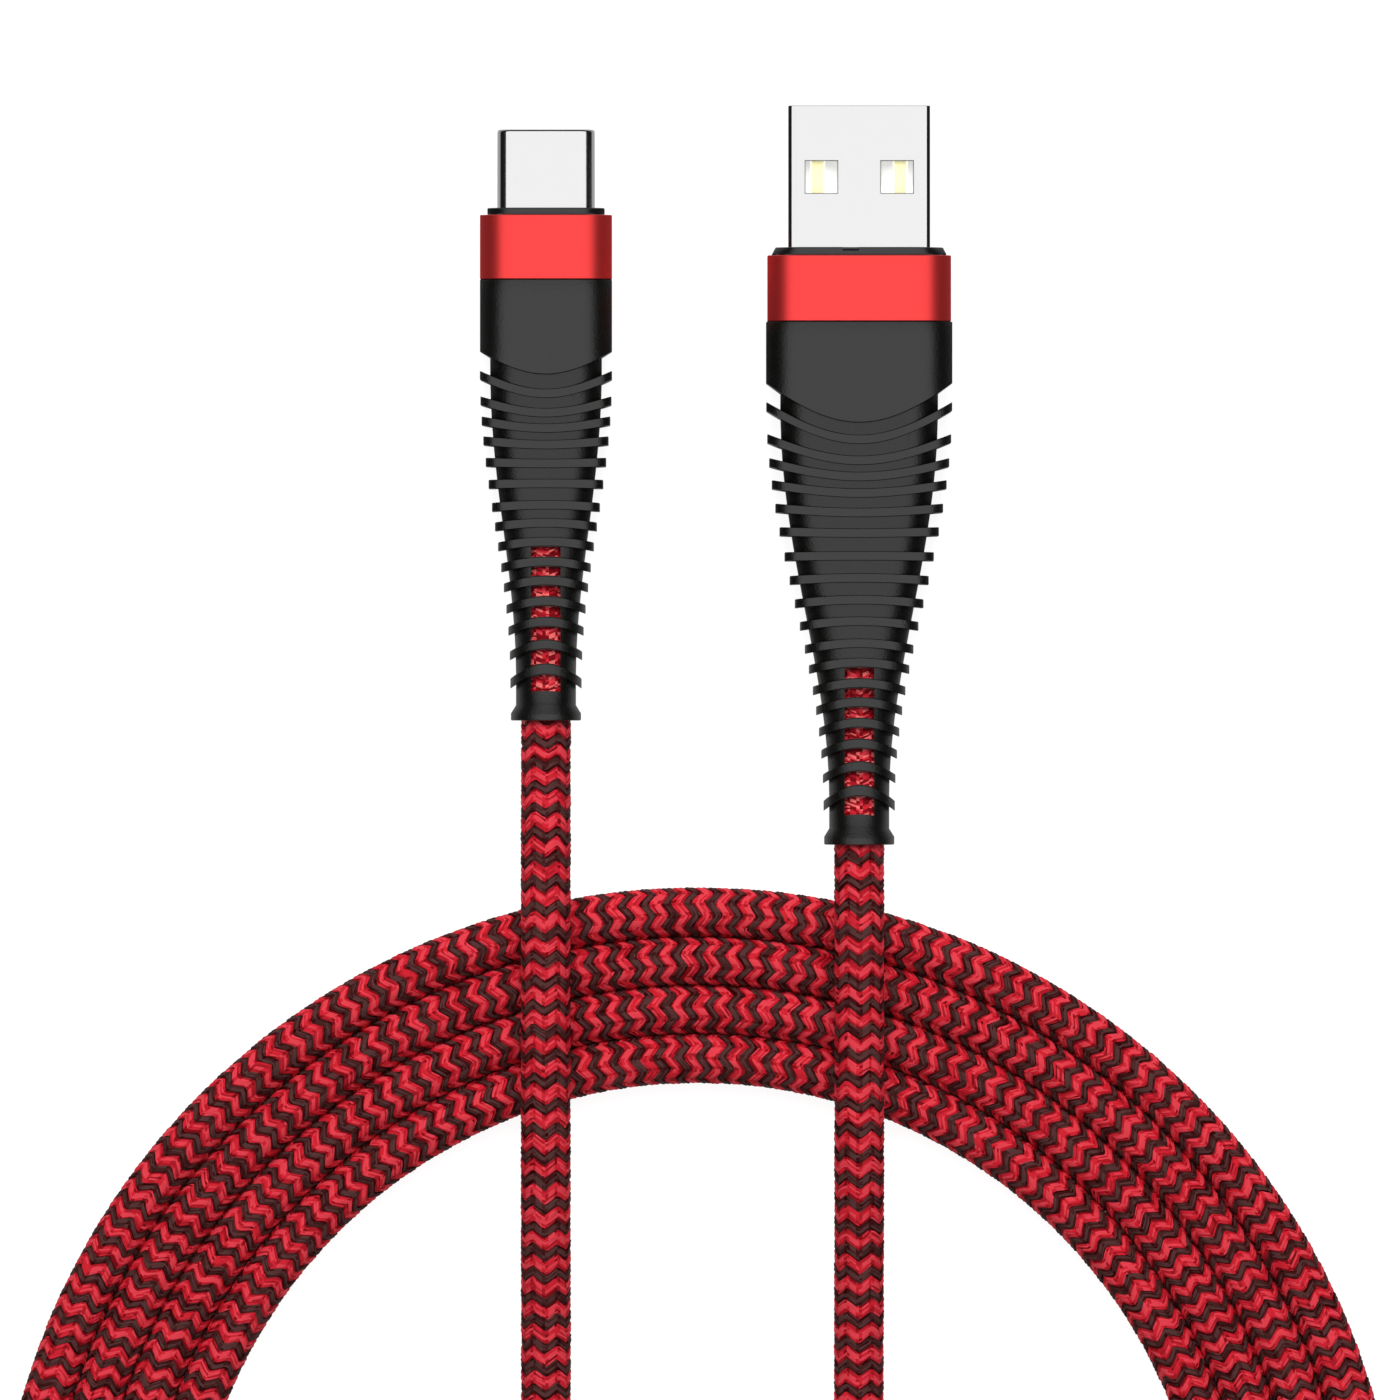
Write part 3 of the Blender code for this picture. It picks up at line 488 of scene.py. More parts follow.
def loft(name, rings, materials, slots=()):
    """A solid through the rings, with flat ends. slots are the materials' numbers from ring to ring."""
    count = len(rings[0])
    points = [p for ring in rings for p in ring]
    faces = skin(len(rings), count, closed=False)
    faces.append(tuple(range(count)))
    faces.append(tuple(range(len(points) - count, len(points))))
    made = add_mesh(name, points, faces, materials)
    for row, slot in enumerate(slots):
        for face in range(row * count, (row + 1) * count):
            made.data.polygons[face].material_index = slot
    return made


def sleeve(name, outer, inner, materials):
    """A tube with outer and inner rings, both listed from front to rear."""
    rings = outer + inner[::-1]
    points = [p for ring in rings for p in ring]
    return add_mesh(name, points, skin(len(rings), len(rings[0]), closed=True), materials)


def cut(target, cutter):
    """Take the cutter out of the target and delete it."""
    modifier = target.modifiers.new("cut", "BOOLEAN")
    modifier.operation, modifier.solver, modifier.object = "DIFFERENCE", "EXACT", cutter
    graph = bpy.context.evaluated_depsgraph_get()
    mesh = bpy.data.meshes.new_from_object(target.evaluated_get(graph))
    target.modifiers.clear()
    target.data = mesh
    bpy.data.objects.remove(cutter, do_unlink=True)
    smooth(target)


def place(piece, slot, *nodes):
    """The piece rides on the cable's one body and stands for the CAD nodes, which it hides. The slot is not
    used.
    """
    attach(piece, "root")
    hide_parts(*nodes)


# ---- the cord's line --------------------------------------------------------------------------------------
def smooth_step(share):
    share = min(max(share, 0.0), 1.0)
    return share * share * (3 - 2 * share)


def rise_at(plug, y):
    share = max(0.0, (plug.neck_y - y) / (plug.neck_y - plug.end_y))
    return plug.lift * share**2


def inside_boot(plug):
    """The cord's points from its start in the boot to the boot's end."""
    reach = plug.end_y - plug.cord_start_y
    stations = [plug.cord_start_y + reach * i / IN_BOOT_STEPS for i in range(IN_BOOT_STEPS + 1)]
    return [(plug.x, y, plug.z + rise_at(plug, y)) for y in stations]


def round_coil(angle, radius, z):
    angle = math.radians(angle)
    return (COIL_CENTRE[0] + radius * math.cos(angle), COIL_CENTRE[1] + radius * math.sin(angle), z)


def cord_route():
    """Every point that the cord follows, from inside the USB-C boot to inside the USB-A boot."""
    points = inside_boot(USB_C) + list(LEAD_C_ROUTE) + [COIL_ENTRY]
    coil_first = len(points)
    out_from, out_over = COIL_STEP_OUT
    for angle in range(COIL_START, COIL_END + 1, COIL_STEP):
        turn, within = divmod(angle, 360)
        radius = COIL_FIRST_RADIUS + COIL_PITCH * (turn + smooth_step((within - out_from) / out_over) - 1)
        points.append(round_coil(angle, radius, CORD_REST_Z))
    coil_last = len(points) - 1
    points += [round_coil(*stop) for stop in COIL_EXIT]
    points += LEAD_A_ROUTE[::-1]
    points += inside_boot(USB_A)[::-1]
    return np.array(points), coil_first, coil_last


def smooth_line(points):
    """Points on a Catmull-Rom curve through the given ones."""
    padded = np.vstack([2 * points[0] - points[1], points, 2 * points[-1] - points[-2]])
    t = np.arange(LINE_STEPS)[:, None] / LINE_STEPS
    line = []
    for a, b, c, d in zip(padded, padded[1:], padded[2:], padded[3:]):
        squared = 2 * a - 5 * b + 4 * c - d
        cubed = 3 * b - a - 3 * c + d
        line.append(0.5 * (2 * b + (c - a) * t + squared * t**2 + cubed * t**3))
    return np.vstack(line + [points[-1:]])


def unit(vectors):
    return vectors / np.linalg.norm(vectors, axis=-1, keepdims=True)


class CordLine:
    """The cord's centreline by length along it, with a frame that doesn't turn about it."""

    def __init__(self):
        points, coil_first, coil_last = cord_route()
        fine = smooth_line(points)
        walked = np.concatenate([[0], np.cumsum(np.linalg.norm(np.diff(fine, axis=0), axis=1))])
        in_boot = IN_BOOT_STEPS * LINE_STEPS
        self.coil = (walked[coil_first * LINE_STEPS], walked[coil_last * LINE_STEPS])
        self.bare = (walked[in_boot], walked[-1 - in_boot])
        self.length = walked[-1]
        self.at = np.linspace(0, self.length, round(self.length / LINE_SPACING) + 1)
        self.centre = np.stack([np.interp(self.at, walked, fine[:, k]) for k in range(3)], axis=1)
        self.along = unit(np.gradient(self.centre, axis=0))
        self.up = self.turned_frames()

    def turned_frames(self):
        """The up vector at every point, carried along by double reflection from straight up."""
        up = np.array((0.0, 0.0, 1.0))
        up = unit(up - self.along[0] * up.dot(self.along[0]))
        found = [up]
        for i in range(len(self.at) - 1):
            step = self.centre[i + 1] - self.centre[i]
            first = step.dot(step)
            up_turned = up - 2 / first * step.dot(up) * step
            along_turned = self.along[i] - 2 / first * step.dot(self.along[i]) * step
            change = self.along[i + 1] - along_turned
            second = change.dot(change)
            up = up_turned if second < STRAIGHT else up_turned - 2 / second * change.dot(up_turned) * change
            found.append(unit(up))
        return np.array(found)

    def sample(self, at):
        """Centre, up and side vectors at lengths along the cord."""
        def pick(values):
            return np.stack([np.interp(at, self.at, values[:, k]) for k in range(3)], axis=-1)

        centre, along, up = pick(self.centre), unit(pick(self.along)), unit(pick(self.up))
        return centre, up, np.cross(along, up)


class BraidGrid:
    """The braid's grid: rows that zigzag round the cord, several for each yarn, and columns along it."""

    def __init__(self, line):
        lengths = np.arange(0, line.length + PHASE_STEP, PHASE_STEP)
        blend = np.clip((lengths - line.coil[0]) / PERIOD_BLEND + 0.5, 0, 1)
        blend = np.minimum(blend, np.clip((line.coil[1] - lengths) / PERIOD_BLEND + 0.5, 0, 1))
        period = LEAD_PERIOD + (COIL_PERIOD - LEAD_PERIOD) * blend
        phase = np.concatenate([[0], np.cumsum(PHASE_STEP / period[:-1])])
        margin = COIL_ZIGZAG / LEAD_PERIOD
        self.periods = int(phase[-1] - 2 * margin)
        self.add_rows(margin)
        self.at = np.interp(self.phase, phase, lengths)
        self.bare = (self.at > line.bare[0]) & (self.at < line.bare[1])
        zigzag = np.interp(self.at, lengths, LEAD_ZIGZAG + (COIL_ZIGZAG - LEAD_ZIGZAG) * blend)
        self.zigzag = np.where(self.bare, zigzag, BOOT_ZIGZAG)
        self.add_columns()

    def add_rows(self, margin):
        """Each row's phase, height and painted shade. A period is a red yarn and a dark one."""
        stations, heights, darks = [], [], []
        for start, share in ((0.0, RED_SHARE), (RED_SHARE, 1 - RED_SHARE)):
            for across, height, dark in YARN_STATIONS:
                stations.append(start + share * across)
                heights.append(height)
                darks.append(dark)
        self.rows = self.periods * len(stations)
        self.phase = margin + (np.arange(self.periods)[:, None] + np.array(stations)).ravel()
        self.height = np.tile(heights, self.periods)
        self.row_painted_shade = np.tile(darks, self.periods)
        self.yarn = np.arange(self.rows) // len(YARN_STATIONS)
        self.yarns = self.periods * 2

    def add_columns(self):
        """Each column's place round the cord, height, painted shade and slant, which turns at every other
        one.
        """
        in_column = len(COLUMN_STATIONS)
        self.count = BRAID_COLUMNS * in_column
        self.column = np.arange(self.count) // in_column
        share, self.ridge, self.column_painted_shade = (np.tile(part, BRAID_COLUMNS) for part in zip(*COLUMN_STATIONS))
        slant = np.where(self.column % 2 == 0, 0.5 - share, share - 0.5)
        self.slant = (slant + np.sin(math.pi * slant) / 2) / 2
        self.around = self.column + share

    def by_yarn(self, values):
        """Values for each yarn in each column, spread to the grid's points."""
        return values[self.yarn][:, self.column]

    def points(self, line, chance):
        """Every point of the braid's surface."""
        relief = self.height[:, None] * self.ridge[None, :]
        lift = self.by_yarn(chance.uniform(-YARN_LIFT, YARN_LIFT, (self.yarns, BRAID_COLUMNS)))
        lift += chance.uniform(-PLY_LIFT, PLY_LIFT, (self.rows, BRAID_COLUMNS))[:, self.column]
        shift = self.by_yarn(chance.normal(0, YARN_SHIFT, (self.yarns, BRAID_COLUMNS)))
        shift += chance.normal(0, PLY_SHIFT, (self.rows, self.count))
        radius = BRAID_LOW + (BRAID_HIGH - BRAID_LOW + lift) * relief
        at = self.at[:, None] + self.zigzag[:, None] * self.slant[None, :] + shift
        twist = math.radians(BRAID_TWIST) * self.at[:, None] / line.length
        centre, up, side = line.sample(at)
        turn = (self.around * math.tau / BRAID_COLUMNS)[None, :] + twist
        return centre + radius[..., None] * (np.cos(turn)[..., None] * up + np.sin(turn)[..., None] * side)

    def face_colours(self, chance, reds, darks):
        """The material of the face after each point: reds of them, then darks of them, then the painted
        glint.
        """
        # painted shade and highlight by place on the yarn: darker at its edges and ends, lighter at its
        # crests; random tone goes over it
        shade = (self.row_painted_shade[:, None] + self.column_painted_shade[None, :]) * SHADE_STEP
        shade = shade + chance.normal(0, SHADE_SPREAD, (self.rows, BRAID_COLUMNS))[:, self.column]
        shade += chance.normal(0, FLECK, (self.rows, self.count))
        streaks = chance.normal(STREAK_SHADE, STREAK_SPREAD, (self.rows, self.count))
        shade = np.where(self.bare[:, None], shade, streaks)
        dark_yarn = ((self.yarn % 2 == 1) & self.bare)[:, None]
        shade = np.where(dark_yarn, shade * darks / reds, shade)
        most = np.where(dark_yarn, darks, reds) - 1
        colour = np.clip(np.rint(shade), 0, most).astype(int) + dark_yarn * reds
        return np.where(~self.bare[:, None] & (shade < GLINT_BELOW), reds + darks, colour)

    def yarn_places(self, corners, quads):
        """Coordinates that run round the cord and along it, for each corner of the faces."""
        u = np.broadcast_to(self.around[None, :], (self.rows, self.count))
        v = np.broadcast_to(self.phase[:, None], (self.rows, self.count))
        places = np.stack([u, v], axis=-1).reshape(-1, 2)[corners]
        wraps = (corners[: quads * 4] % self.count == 0) & (np.tile([0, 1, 1, 0], quads) == 1)
        places[: quads * 4, 0][wraps] += BRAID_COLUMNS
        return places


def braid_mesh(grid, points):
    """The tube's mesh, with flat ends. Also its faces' corners, and how many of the faces have four."""
    rows, count = grid.rows, grid.count
    index = np.arange(rows * count).reshape(rows, count)
    after = np.roll(index, -1, axis=1)
    quads = np.stack([index[:-1], after[:-1], after[1:], index[1:]], axis=-1).reshape(-1, 4)
    corners = np.concatenate([quads.ravel(), index[0, ::-1], index[-1]])
    starts = np.concatenate([np.arange(len(quads)) * 4, [len(quads) * 4, len(quads) * 4 + count]])
    mesh = bpy.data.meshes.new("cord")
    mesh.vertices.add(rows * count)
    mesh.vertices.foreach_set("co", (points.reshape(-1) * MM).astype(np.float32))
    mesh.loops.add(len(corners))
    mesh.loops.foreach_set("vertex_index", corners.astype(np.int32))
    mesh.polygons.add(len(starts))
    mesh.polygons.foreach_set("loop_start", starts.astype(np.int32))
    return mesh, corners, len(quads)


def add_cord(reds, darks, glint):
    """The braid as one tube. Its rings run zigzag round it, so that each ply has its own faces and colour."""
    line = CordLine()
    grid = BraidGrid(line)
    chance = np.random.default_rng(SEED)
    mesh, corners, quads = braid_mesh(grid, grid.points(line, chance))
    for material in (*reds, *darks, glint):
        mesh.materials.append(material)
    colours = grid.face_colours(chance, len(reds), len(darks))[:-1].ravel()
    mesh.polygons.foreach_set("material_index", np.append(colours, [0, 0]).astype(np.int32))
    mesh.update(calc_edges=True)
    layer = mesh.uv_layers.new(name="yarn")
    layer.data.foreach_set("uv", grid.yarn_places(corners, quads).astype(np.float32).ravel())
    mesh.polygons.foreach_set("use_smooth", [True] * len(mesh.polygons))
    cord = bpy.data.objects.new("cord", mesh)
    bpy.context.scene.collection.objects.link(cord)

    place(cord, "braid", "cord_coil", "cord_lead_a", "cord_lead_c")
    print("cord length, mm:", round(float(line.length), 1))


# ---- the boots --------------------------------------------------------------------------------------------
def ease(share, power):
    """Falls from 1 to 0 as share goes from 0 to 1, level at both ends."""
    share = min(max(share, 0.0), 1.0) ** power
    return 0.5 * (1 + math.cos(math.pi * share))


def neck_half_at(plug, y):
    share = ease((plug.neck_y - y) / (plug.neck_y - plug.rib_ys[-1]), NECK_TAPER)
    return tuple(NECK_END_HALF + (half - NECK_END_HALF) * share for half in plug.neck_half)


def rib_half_at(plug, y):
    first, last = plug.rib_ys[0], plug.rib_ys[-1]
    share = ease((first - y) / (first - last), RIB_TAPER)
    across = RIB_END_HALF_X + (plug.rib_half_x - RIB_END_HALF_X) * share
    return across, neck_half_at(plug, y)[1] + RIB_PROUD


def rib_places(plug):
    """Each rib's middle at the boot's side, its half thickness, and its sag at the boot's middle."""
    last = len(plug.rib_ys) - 1
    found = []
    for i, y in enumerate(plug.rib_ys):
        share = i / last
        half = LAST_RIB_HALF if i == last else RIB_HALF
        sag = plug.first_sag * math.exp(-share / plug.sag_decay) - plug.sag_rise * share
        sag -= LAST_RISE * share**LAST_RISE_POWER
        found.append((y, half, sag))
    return found


def bow(share, sag):
    """How far a sagging line dips, from sag at its middle (share 0) to nothing at its ends (share 1)."""
    blunt = SMILE_BLUNTNESS if sag > 0 else FROWN_BLUNTNESS
    end = math.hypot(1, blunt)
    return sag * (end - math.hypot(share, blunt)) / (end - blunt)


def plain_ring(plug, y, half, corner):
    """A level ring round the plug's own middle line."""
    return [(plug.x + x, y, plug.z + z) for x, z in section(*half, corner)]


def boot_ring(plug, y, half, corner, sag=0.0, width=None, rise=None):
    """One ring of the boot. width is the half width over which the sag runs out."""
    width = width or half[0]
    rise = rise_at(plug, y) if rise is None else rise
    ring = []
    for x, z in section(*half, corner, across=BOOT_ACROSS):
        ring.append((plug.x + x, y - bow(min(abs(x) / width, 1), sag), plug.z + rise + z))
    return ring


def corner_at(plug, y, half, width, tilt):
    """A soft corner that grows round as the boot narrows to its round end."""
    share = (neck_half_at(plug, y)[0] - NECK_END_HALF) / (plug.neck_half[0] - NECK_END_HALF)
    soft = soft_corner(width, tilt, SOFT_EDGE)
    return mixed_corner(full_corner(half), soft, min(1.0, share * ROUND_SOONER))


def boot_rings(plug):
    """The boot's outside, from its front face to the end collar, and which spans lie in the grooves."""
    body, corner = plug.body_half, soft_corner(plug.corner, BODY_TILT, SOFT_EDGE)
    front = plug.boot_y + BOOT_EDGE[0][0]

    def body_ring(y, inset, sag=0.0):
        half = tuple(side - inset for side in body)
        return boot_ring(plug, y, half, corner, sag, rise=0.0)

    def neck_ring(y, sag=0.0, width=None):
        half = neck_half_at(plug, y)
        return boot_ring(plug, y, half, corner_at(plug, y, half, plug.neck_corner, NECK_TILT), sag, width)

    rings = [body_ring(plug.boot_y + ahead, inset) for ahead, inset in BOOT_EDGE]
    for share in BODY_SAG_STATIONS:
        rings.append(body_ring(front + (plug.shoulder_y - front) * share, 0.0, plug.shoulder_sag * share**2))
    along, inset = SHOULDER_CHAMFER
    rings.append(body_ring(plug.shoulder_y + along, 0.0, plug.shoulder_sag))
    rings.append(body_ring(plug.shoulder_y, inset, plug.shoulder_sag))
    rings.append(neck_ring(plug.shoulder_y - SHOULDER_FACE, plug.shoulder_sag, body[0]))
    grooves = [len(rings) - 1]
    for y, half, sag in rib_places(plug):
        rib = rib_half_at(plug, y)
        rib_corner = corner_at(plug, y, rib, rib[0] - neck_half_at(plug, y)[0] + RIB_SHOULDER, NECK_TILT)
        for offset, inset in (
            (half, None),
            (half - RIB_FACE, RIB_EDGE),
            (half - RIB_EDGE, 0.0),
            (-half + RIB_EDGE, 0.0),
            (-half + RIB_FACE, RIB_EDGE),
            (-half, None),
        ):
            if inset is None:
                rings.append(neck_ring(y + offset, sag, rib[0]))
            else:
                side = tuple(h - inset for h in rib)
                rings.append(boot_ring(plug, y + offset, side, rib_corner, sag, rib[0]))
        grooves.append(len(rings) - 1)
    rings.append(neck_ring(plug.flare_y))
    collar = [(plug.flare_y - END_COLLAR_FLARE, 0.0)]
    collar += [(plug.end_y + along, inset) for along, inset in END_COLLAR_EDGE]
    for y, inset in collar:
        half = (END_COLLAR_HALF - inset, END_COLLAR_HALF - inset)
        rings.append(boot_ring(plug, y, half, full_corner(half)))
    return rings, [int(row in grooves) for row in range(len(rings) - 1)]


def window_cutters(plug):
    """The windows after the last ribs, each as its lower and upper edge: y, sag and the sag's half width."""
    ribs = rib_places(plug)[-WINDOW_RIBS:]
    spans = []
    for (y, half, sag), (after_y, after_half, after_sag) in zip(ribs, ribs[1:]):
        low = (after_y + after_half + WINDOW_MARGIN, after_sag, rib_half_at(plug, after_y)[0])
        high = (y - half - WINDOW_MARGIN, sag, rib_half_at(plug, y)[0])
        spans.append((low, high))
    last_y, last_half, last_sag = ribs[-1]
    width = rib_half_at(plug, last_y)[0]
    low = (plug.flare_y + LAST_WINDOW_PAST_FLARE, LAST_WINDOW_SAG, width)
    spans.append((low, (last_y - last_half - WINDOW_MARGIN, last_sag, width)))
    return spans


def boot_window_cutter(plug, low, high, material):
    """A prism with straight sides, and lower and upper edges that follow the ribs."""
    across = [WINDOW_HALF_X * (2 * i / WINDOW_STEPS - 1) for i in range(WINDOW_STEPS + 1)]
    outline = [(x, low[0] - bow(abs(x) / low[2], low[1])) for x in across]
    outline += [(x, high[0] - bow(abs(x) / high[2], high[1])) for x in across[::-1]]
    rings = [[(plug.x + x, y, z) for x, y in outline] for z in (-2 * PAST, plug.z * 2 + plug.lift * 2)]
    return loft("window", rings, [material])


def room_cutter(plug, half, ends, material):
    """A straight hollow with rounded corners between the two ends."""
    rings = [plain_ring(plug, y, half, round_corner(ROOM_CORNER, ROOM_CORNER)) for y in ends]
    return loft("room", rings, [material])


def bore_cutter(plug, material):
    """The cord's way through the boot, which rises with it."""
    top, end = plug.cavity_end_y + ROOM_OVERLAP, plug.end_y - PAST
    rings = []
    for i in range(BORE_RINGS):
        y = top + (end - top) * i / (BORE_RINGS - 1)
        ring = []
        for side in range(BORE_SIDES):
            angle = math.tau * side / BORE_SIDES
            x, z = CORD_BORE_RADIUS * math.cos(angle), CORD_BORE_RADIUS * math.sin(angle)
            ring.append((plug.x + x, y, plug.z + rise_at(plug, y) + z))
        rings.append(ring)
    return loft("room", rings, [material])


def add_boot(plug, rubber, groove_shade_rubber):
    """The ribbed boot: room for the housing, the wires and the cord, and the windows on both flat sides."""
    rings, slots = boot_rings(plug)
    # the spans in the grooves take the duller rubber, a painted shade
    boot = loft(f"{plug.key}_boot_skin", rings, [rubber, groove_shade_rubber], slots)
    wide = tuple(half + SLEEVE_GAP for half in plug.housing_half)
    cut(boot, room_cutter(plug, wide, (plug.boot_y + PAST, plug.housing_end_y - ROOM_OVERLAP), rubber))
    cut(boot, room_cutter(plug, plug.cavity_half, (plug.housing_end_y, plug.cavity_end_y), rubber))
    cut(boot, bore_cutter(plug, rubber))
    for low, high in window_cutters(plug):
        cut(boot, boot_window_cutter(plug, low, high, rubber))
    place(boot, "boot_rubber", f"{plug.key}_boot")


# ---- the noses and shells ---------------------------------------------------------------------------------
def notch_cutter(plug, plastic):
    """The small notch in the front edge of the USB-A plug's collar, whose floor slopes up at the back."""
    low = plug.z + plug.housing_bore[1] + A_NOTCH_FLOOR
    top = plug.z + A_NOTCH_TOP
    front = plug.collar_y
    back = front - A_NOTCH_DEPTH
    profile = (
        (back, low + A_NOTCH_SLOPE),
        (back, top),
        (back + PAST, top),
        (front, low),
        (back + A_NOTCH_FOOT, low),
    )
    rings = [[(plug.x + x, y, z) for y, z in profile] for x in A_NOTCH_X]
    return loft("notch", rings, [plastic])


def add_nose_housing(plug, plastic):
    """The black inner housing, with a bevelled collar ahead of the trim ring."""
    collar = plug.collar_half
    flared = (collar[0] + plug.collar_flare, collar[1] + plug.collar_flare * COLLAR_FLARE_TOP)
    corner = soft_corner(plug.corner - COLLAR_CORNER_LESS, BODY_TILT, COLLAR_SOFT_EDGE)
    inner_corner = round_corner(HOUSING_CORNER, HOUSING_CORNER)
    back_y = plug.ring_y + SLEEVE_GAP
    along, inset = COLLAR_EDGE
    narrow = tuple(half - inset for half in collar)
    outer = [
        plain_ring(plug, plug.collar_y, narrow, corner),
        plain_ring(plug, plug.collar_y - along, collar, corner),
        plain_ring(plug, back_y, flared, corner),
        plain_ring(plug, back_y - COLLAR_STEP, plug.housing_half, inner_corner),
        plain_ring(plug, plug.housing_end_y, plug.housing_half, inner_corner),
    ]
    bore_corner = round_corner(plug.housing_bore_corner, plug.housing_bore_corner)
    inner = [plain_ring(plug, y, plug.housing_bore, bore_corner) for y in (plug.collar_y, plug.housing_end_y)]
    housing = sleeve(f"{plug.key}_nose", outer, inner, [plastic])
    if plug is USB_A:
        cut(housing, notch_cutter(plug, plastic))
    place(housing, "black_plastic", f"{plug.key}_nose_housing")


def add_trim_ring(plug, metal):
    """The red band, with bright chamfers on both edges."""
    half, rear = plug.ring_half, plug.boot_y + SLEEVE_GAP
    corner = soft_corner(plug.corner, BODY_TILT, SOFT_EDGE)

    def outer_ring(y, inset):
        return plain_ring(plug, y, tuple(side - inset for side in half), corner)

    outer = [
        outer_ring(plug.ring_y, RING_EDGE),
        outer_ring(plug.ring_y - RING_EDGE, 0.0),
        outer_ring(rear + RING_EDGE, 0.0),
        outer_ring(rear, RING_EDGE),
    ]
    bore = tuple(side + SLEEVE_GAP for side in plug.housing_half)
    inner = [plain_ring(plug, y, bore, round_corner(ROOM_CORNER, ROOM_CORNER)) for y in (plug.ring_y, rear)]
    piece = sleeve(f"{plug.key}_ring", outer, inner, [metal])
    place(piece, "anodised_red", f"{plug.key}_trim_ring")


def add_shell(plug, half, corner, inner_corner, wall, out, inward, lip, steel):
    """A thin metal shell, its front edge rounded over the lip's length."""
    tip = plug.collar_y + out
    rear = plug.collar_y - inward
    inside = tuple(side - wall for side in half)
    outer = []
    for step in range(LIP_STEPS + 1):
        turn = math.pi / 2 * step / LIP_STEPS
        along, inset = lip * (1 - math.cos(turn)), lip * (1 - math.sin(turn))
        outer.append(plain_ring(plug, tip - along, tuple(side - inset for side in half), corner))
    outer.append(plain_ring(plug, rear, half, corner))
    edge = min(SHELL_INNER_EDGE, wall - lip - LIP_REST)
    inner = [
        plain_ring(plug, tip, tuple(side - wall + edge for side in half), inner_corner),
        plain_ring(plug, tip - SHELL_INNER_EDGE, inside, inner_corner),
        plain_ring(plug, rear, inside, inner_corner),
    ]
    return sleeve(f"{plug.key}_metal_shell", outer, inner, [steel])


def shell_window_cutter(x, y, levels, steel):
    """A square prism through these levels, each a height with how far the opening widens there."""
    rings = []
    for z, widening in levels:
        reach = A_WINDOW_HALF + widening
        rings.append([(x + a * reach, y + b * reach, z) for a, b in ((-1, -1), (1, -1), (1, 1), (-1, 1))])
    return loft("window", rings, [steel])


def add_usb_a_shell(steel):
    """The USB-A shell, with two square windows through each of its flat sides."""
    corner = soft_corner(A_SHELL_CORNER, SHELL_TILT, A_SHELL_EDGE, bend=A_SHELL_BEND)
    inner = round_corner(A_SHELL_INNER_CORNER, A_SHELL_INNER_CORNER)
    lip = A_SHELL_LIP
    shell = add_shell(USB_A, A_SHELL_HALF, corner, inner, A_SHELL_WALL, A_SHELL_OUT, A_SHELL_IN, lip, steel)
    face = A_SHELL_HALF[1]
    levels = [(0, 0)]
    for z, widening in ((face - A_WINDOW_EDGE, 0), (face, A_WINDOW_EDGE), (face + PAST, A_WINDOW_EDGE)):
        levels = [(-z, widening)] + levels + [(z, widening)]
    levels = [(USB_A.z + z, widening) for z, widening in levels]
    for side in (-1, 1):
        middle = USB_A.collar_y + A_SHELL_OUT - A_WINDOW_FROM_TIP
        cut(shell, shell_window_cutter(USB_A.x + side * A_WINDOW_X, middle, levels, steel))
    place(shell, "plated_steel", "usb_a_shell")


def add_usb_c_shell(steel):
    """The USB-C shell, with round sides."""
    corner = round_corner(C_SHELL_CORNER, C_SHELL_CORNER)
    inner = round_corner(C_SHELL_CORNER - C_SHELL_WALL, C_SHELL_CORNER - C_SHELL_WALL)
    lip = C_SHELL_LIP
    shell = add_shell(USB_C, C_SHELL_HALF, corner, inner, C_SHELL_WALL, C_SHELL_OUT, C_SHELL_IN, lip, steel)
    place(shell, "plated_steel", "usb_c_shell")


# ---- surroundings -----------------------------------------------------------------------------------------
def add_floor():
    """A pale floor with some light of its own, which reflections don't see."""
    mesh = bpy.data.meshes.new("floor")
    corners = [(x * FLOOR_REACH, y * FLOOR_REACH, 0) for x, y in ((-1, -1), (1, -1), (1, 1), (-1, 1))]
    mesh.from_pydata(corners, [], [(0, 1, 2, 3)])
    floor = bpy.data.objects.new("floor", mesh)
    glow = {"Emission_Color": (1, 1, 1, 1), "Emission_Strength": FLOOR_GLOW}
    mesh.materials.append(principled("floor", (FLOOR_GREY,) * 3, 0.9, Specular_IOR_Level=0.0, **glow))
    bpy.context.scene.collection.objects.link(floor)
    floor.visible_glossy = False


def add_area_light(name, place_at, size, radiance, seen_in):
    """A soft light that either only reflections ("gloss") or only matt surfaces ("matt") see."""
    lamp = bpy.data.lights.new(name, "AREA")
    lamp.shape = "RECTANGLE"
    lamp.size, lamp.size_y = size
    lamp.energy = radiance * math.pi * size[0] * size[1]
    holder = bpy.data.objects.new(name, lamp)
    holder.location = place_at
    holder.rotation_mode = "QUATERNION"
    holder.rotation_quaternion = (Vector(LIGHT_AIM) - Vector(place_at)).to_track_quat("-Z", "Y")
    holder.visible_camera = False
    holder.visible_glossy = seen_in == "gloss"
    holder.visible_diffuse = seen_in == "matt"
    bpy.context.scene.collection.objects.link(holder)


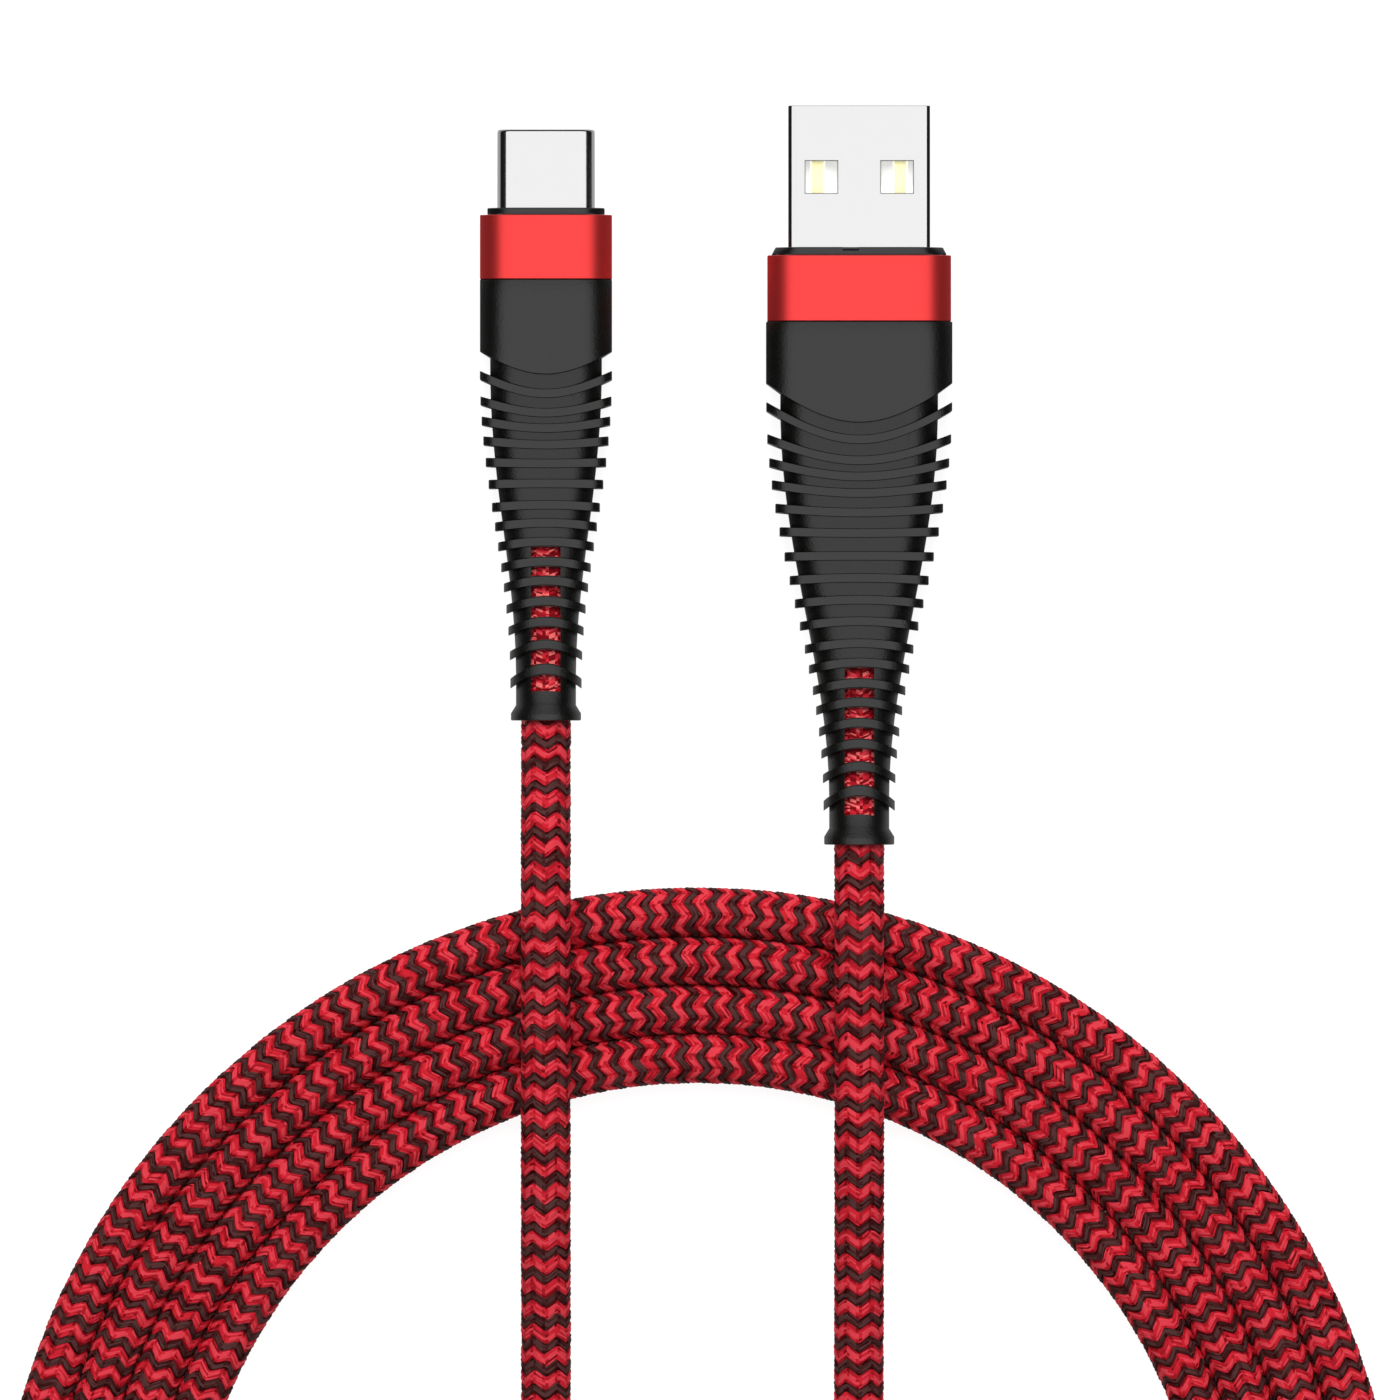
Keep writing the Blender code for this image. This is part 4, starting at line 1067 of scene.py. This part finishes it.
def add_world():
    """Nearly white to the camera. Reflections see WORLD_LEVELS: a dark horizon, and a pale band below it."""
    world = bpy.data.worlds.new("studio")
    world.use_nodes = True
    tree = world.node_tree
    background = tree.nodes["Background"]
    background.inputs["Color"].default_value = (1, 1, 1, 1)
    place_at = tree.nodes.new("ShaderNodeTexCoord")
    split = tree.nodes.new("ShaderNodeSeparateXYZ")
    tree.links.new(place_at.outputs["Generated"], split.inputs["Vector"])
    height = tree.nodes.new("ShaderNodeMapRange")
    height.inputs["From Min"].default_value = -1
    tree.links.new(split.outputs["Z"], height.inputs["Value"])
    ramp = tree.nodes.new("ShaderNodeValToRGB")
    tree.links.new(height.outputs["Result"], ramp.inputs["Fac"])
    while len(ramp.color_ramp.elements) < len(WORLD_LEVELS):
        ramp.color_ramp.elements.new(1.0)
    for element, (z, level) in zip(ramp.color_ramp.elements, WORLD_LEVELS):
        element.position = (z + 1) / 2
        element.color = (level, level, level, 1)
    path = tree.nodes.new("ShaderNodeLightPath")
    strength = tree.nodes.new("ShaderNodeMix")
    tree.links.new(path.outputs["Is Camera Ray"], strength.inputs["Factor"])
    tree.links.new(ramp.outputs["Color"], strength.inputs["A"])
    strength.inputs["B"].default_value = BACKGROUND_LEVEL
    tree.links.new(strength.outputs["Result"], background.inputs["Strength"])
    bpy.context.scene.world = world


def add_lights():
    for light in LIGHTS:
        add_area_light(*light)
    add_world()
    bpy.context.scene.view_settings.view_transform = "Standard"


# ---- everything in order ----------------------------------------------------------------------------------
def yarn(name, colour, roughness, specular):
    """A matt thread whose fine fibres run round the cord."""
    made = principled(name, colour, roughness, Specular_IOR_Level=specular)
    return add_surface(made, 1.0, 0.9, 0.12, (0.55, 0.9), coordinates="UV", stretch=(1.6, 14.0, 1.0))


def inner_finishes():
    """The materials of INNER_FINISHES, by slot."""
    made = {}
    for slot, (colour, roughness, metallic, surface, more) in INNER_FINISHES.items():
        made[slot] = add_surface(principled(slot, colour, roughness, metallic, **more), *surface)
    return made


def finish_inner_nodes(finishes):
    """A better material for each CAD node that stays, by the start of the slot's name."""
    for name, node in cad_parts.items():
        slot = node.data.materials[0].name if node.data.materials else ""
        for key, material in finishes.items():
            if slot.startswith(key):
                for i in range(len(node.data.materials)):
                    node.data.materials[i] = material


add_camera()
# each yarn colour in four shades, from pale to deep: the faces take them by painted shade and highlight
# (lighter at the yarns' crests, darker at their edges and ends) and by random tone
REDS = [
    yarn("braid_red_pale", (0.76, 0.046, 0.068), 0.7, 0.15),
    yarn("braid_red", (0.62, 0.013, 0.028), 0.7, 0.12),
    yarn("braid_red_deep", (0.4, 0.007, 0.016), 0.75, 0.1),
    yarn("braid_red_shade", (0.2, 0.003, 0.007), 0.8, 0.05),
]
DARKS = [
    yarn("braid_dark_pale", (0.085, 0.03, 0.029), 0.7, 0.1),
    yarn("braid_dark", (0.056, 0.014, 0.013), 0.75, 0.08),
    yarn("braid_dark_deep", (0.042, 0.005, 0.006), 0.75, 0.06),
    yarn("braid_dark_shade", (0.026, 0.001, 0.0015), 0.8, 0.04),
]
# a painted glint, for the lightest faces in the boots' windows
GLINT = yarn("braid_red_glint", (0.92, 0.17, 0.16), 0.6, 0.15)
add_cord(REDS, DARKS, GLINT)

RUBBER = principled("boot_rubber", (0.0018, 0.0023, 0.0016), 0.33, Specular_IOR_Level=0.5)
# the same rubber, reflecting less, on the grooves between the ribs: a painted shade there
GROOVE_SHADE_RUBBER = principled("boot_groove_rubber", (0.0018, 0.0023, 0.0016), 0.38, Specular_IOR_Level=0.43)
for rubber in (RUBBER, GROOVE_SHADE_RUBBER):
    add_surface(rubber, 6000, 1.0, 0.03, (0.3, 0.4))
RED_METAL = principled("anodised_red", (0.76, 0.047, 0.047), 0.42, 0.85)
add_surface(RED_METAL, 9000, 0.1, 0.01, (0.38, 0.46))
STEEL = principled("plated_steel", (0.56, 0.56, 0.56), 0.14, 1.0)
add_surface(STEEL, 3000, 0.02, 0.01, (0.11, 0.17))
BLACK = principled("black_plastic", (0.004, 0.004, 0.004), 0.3)
add_surface(BLACK, 8000, 0.05, 0.02, (0.25, 0.38))
for plug in (USB_A, USB_C):
    add_boot(plug, RUBBER, GROOVE_SHADE_RUBBER)
    add_nose_housing(plug, BLACK)
    add_trim_ring(plug, RED_METAL)
add_usb_a_shell(STEEL)
add_usb_c_shell(STEEL)

FINISHES = {"plated_steel": STEEL, "black_plastic": BLACK, **inner_finishes()}
finish_inner_nodes(FINISHES)
add_floor()
add_lights()
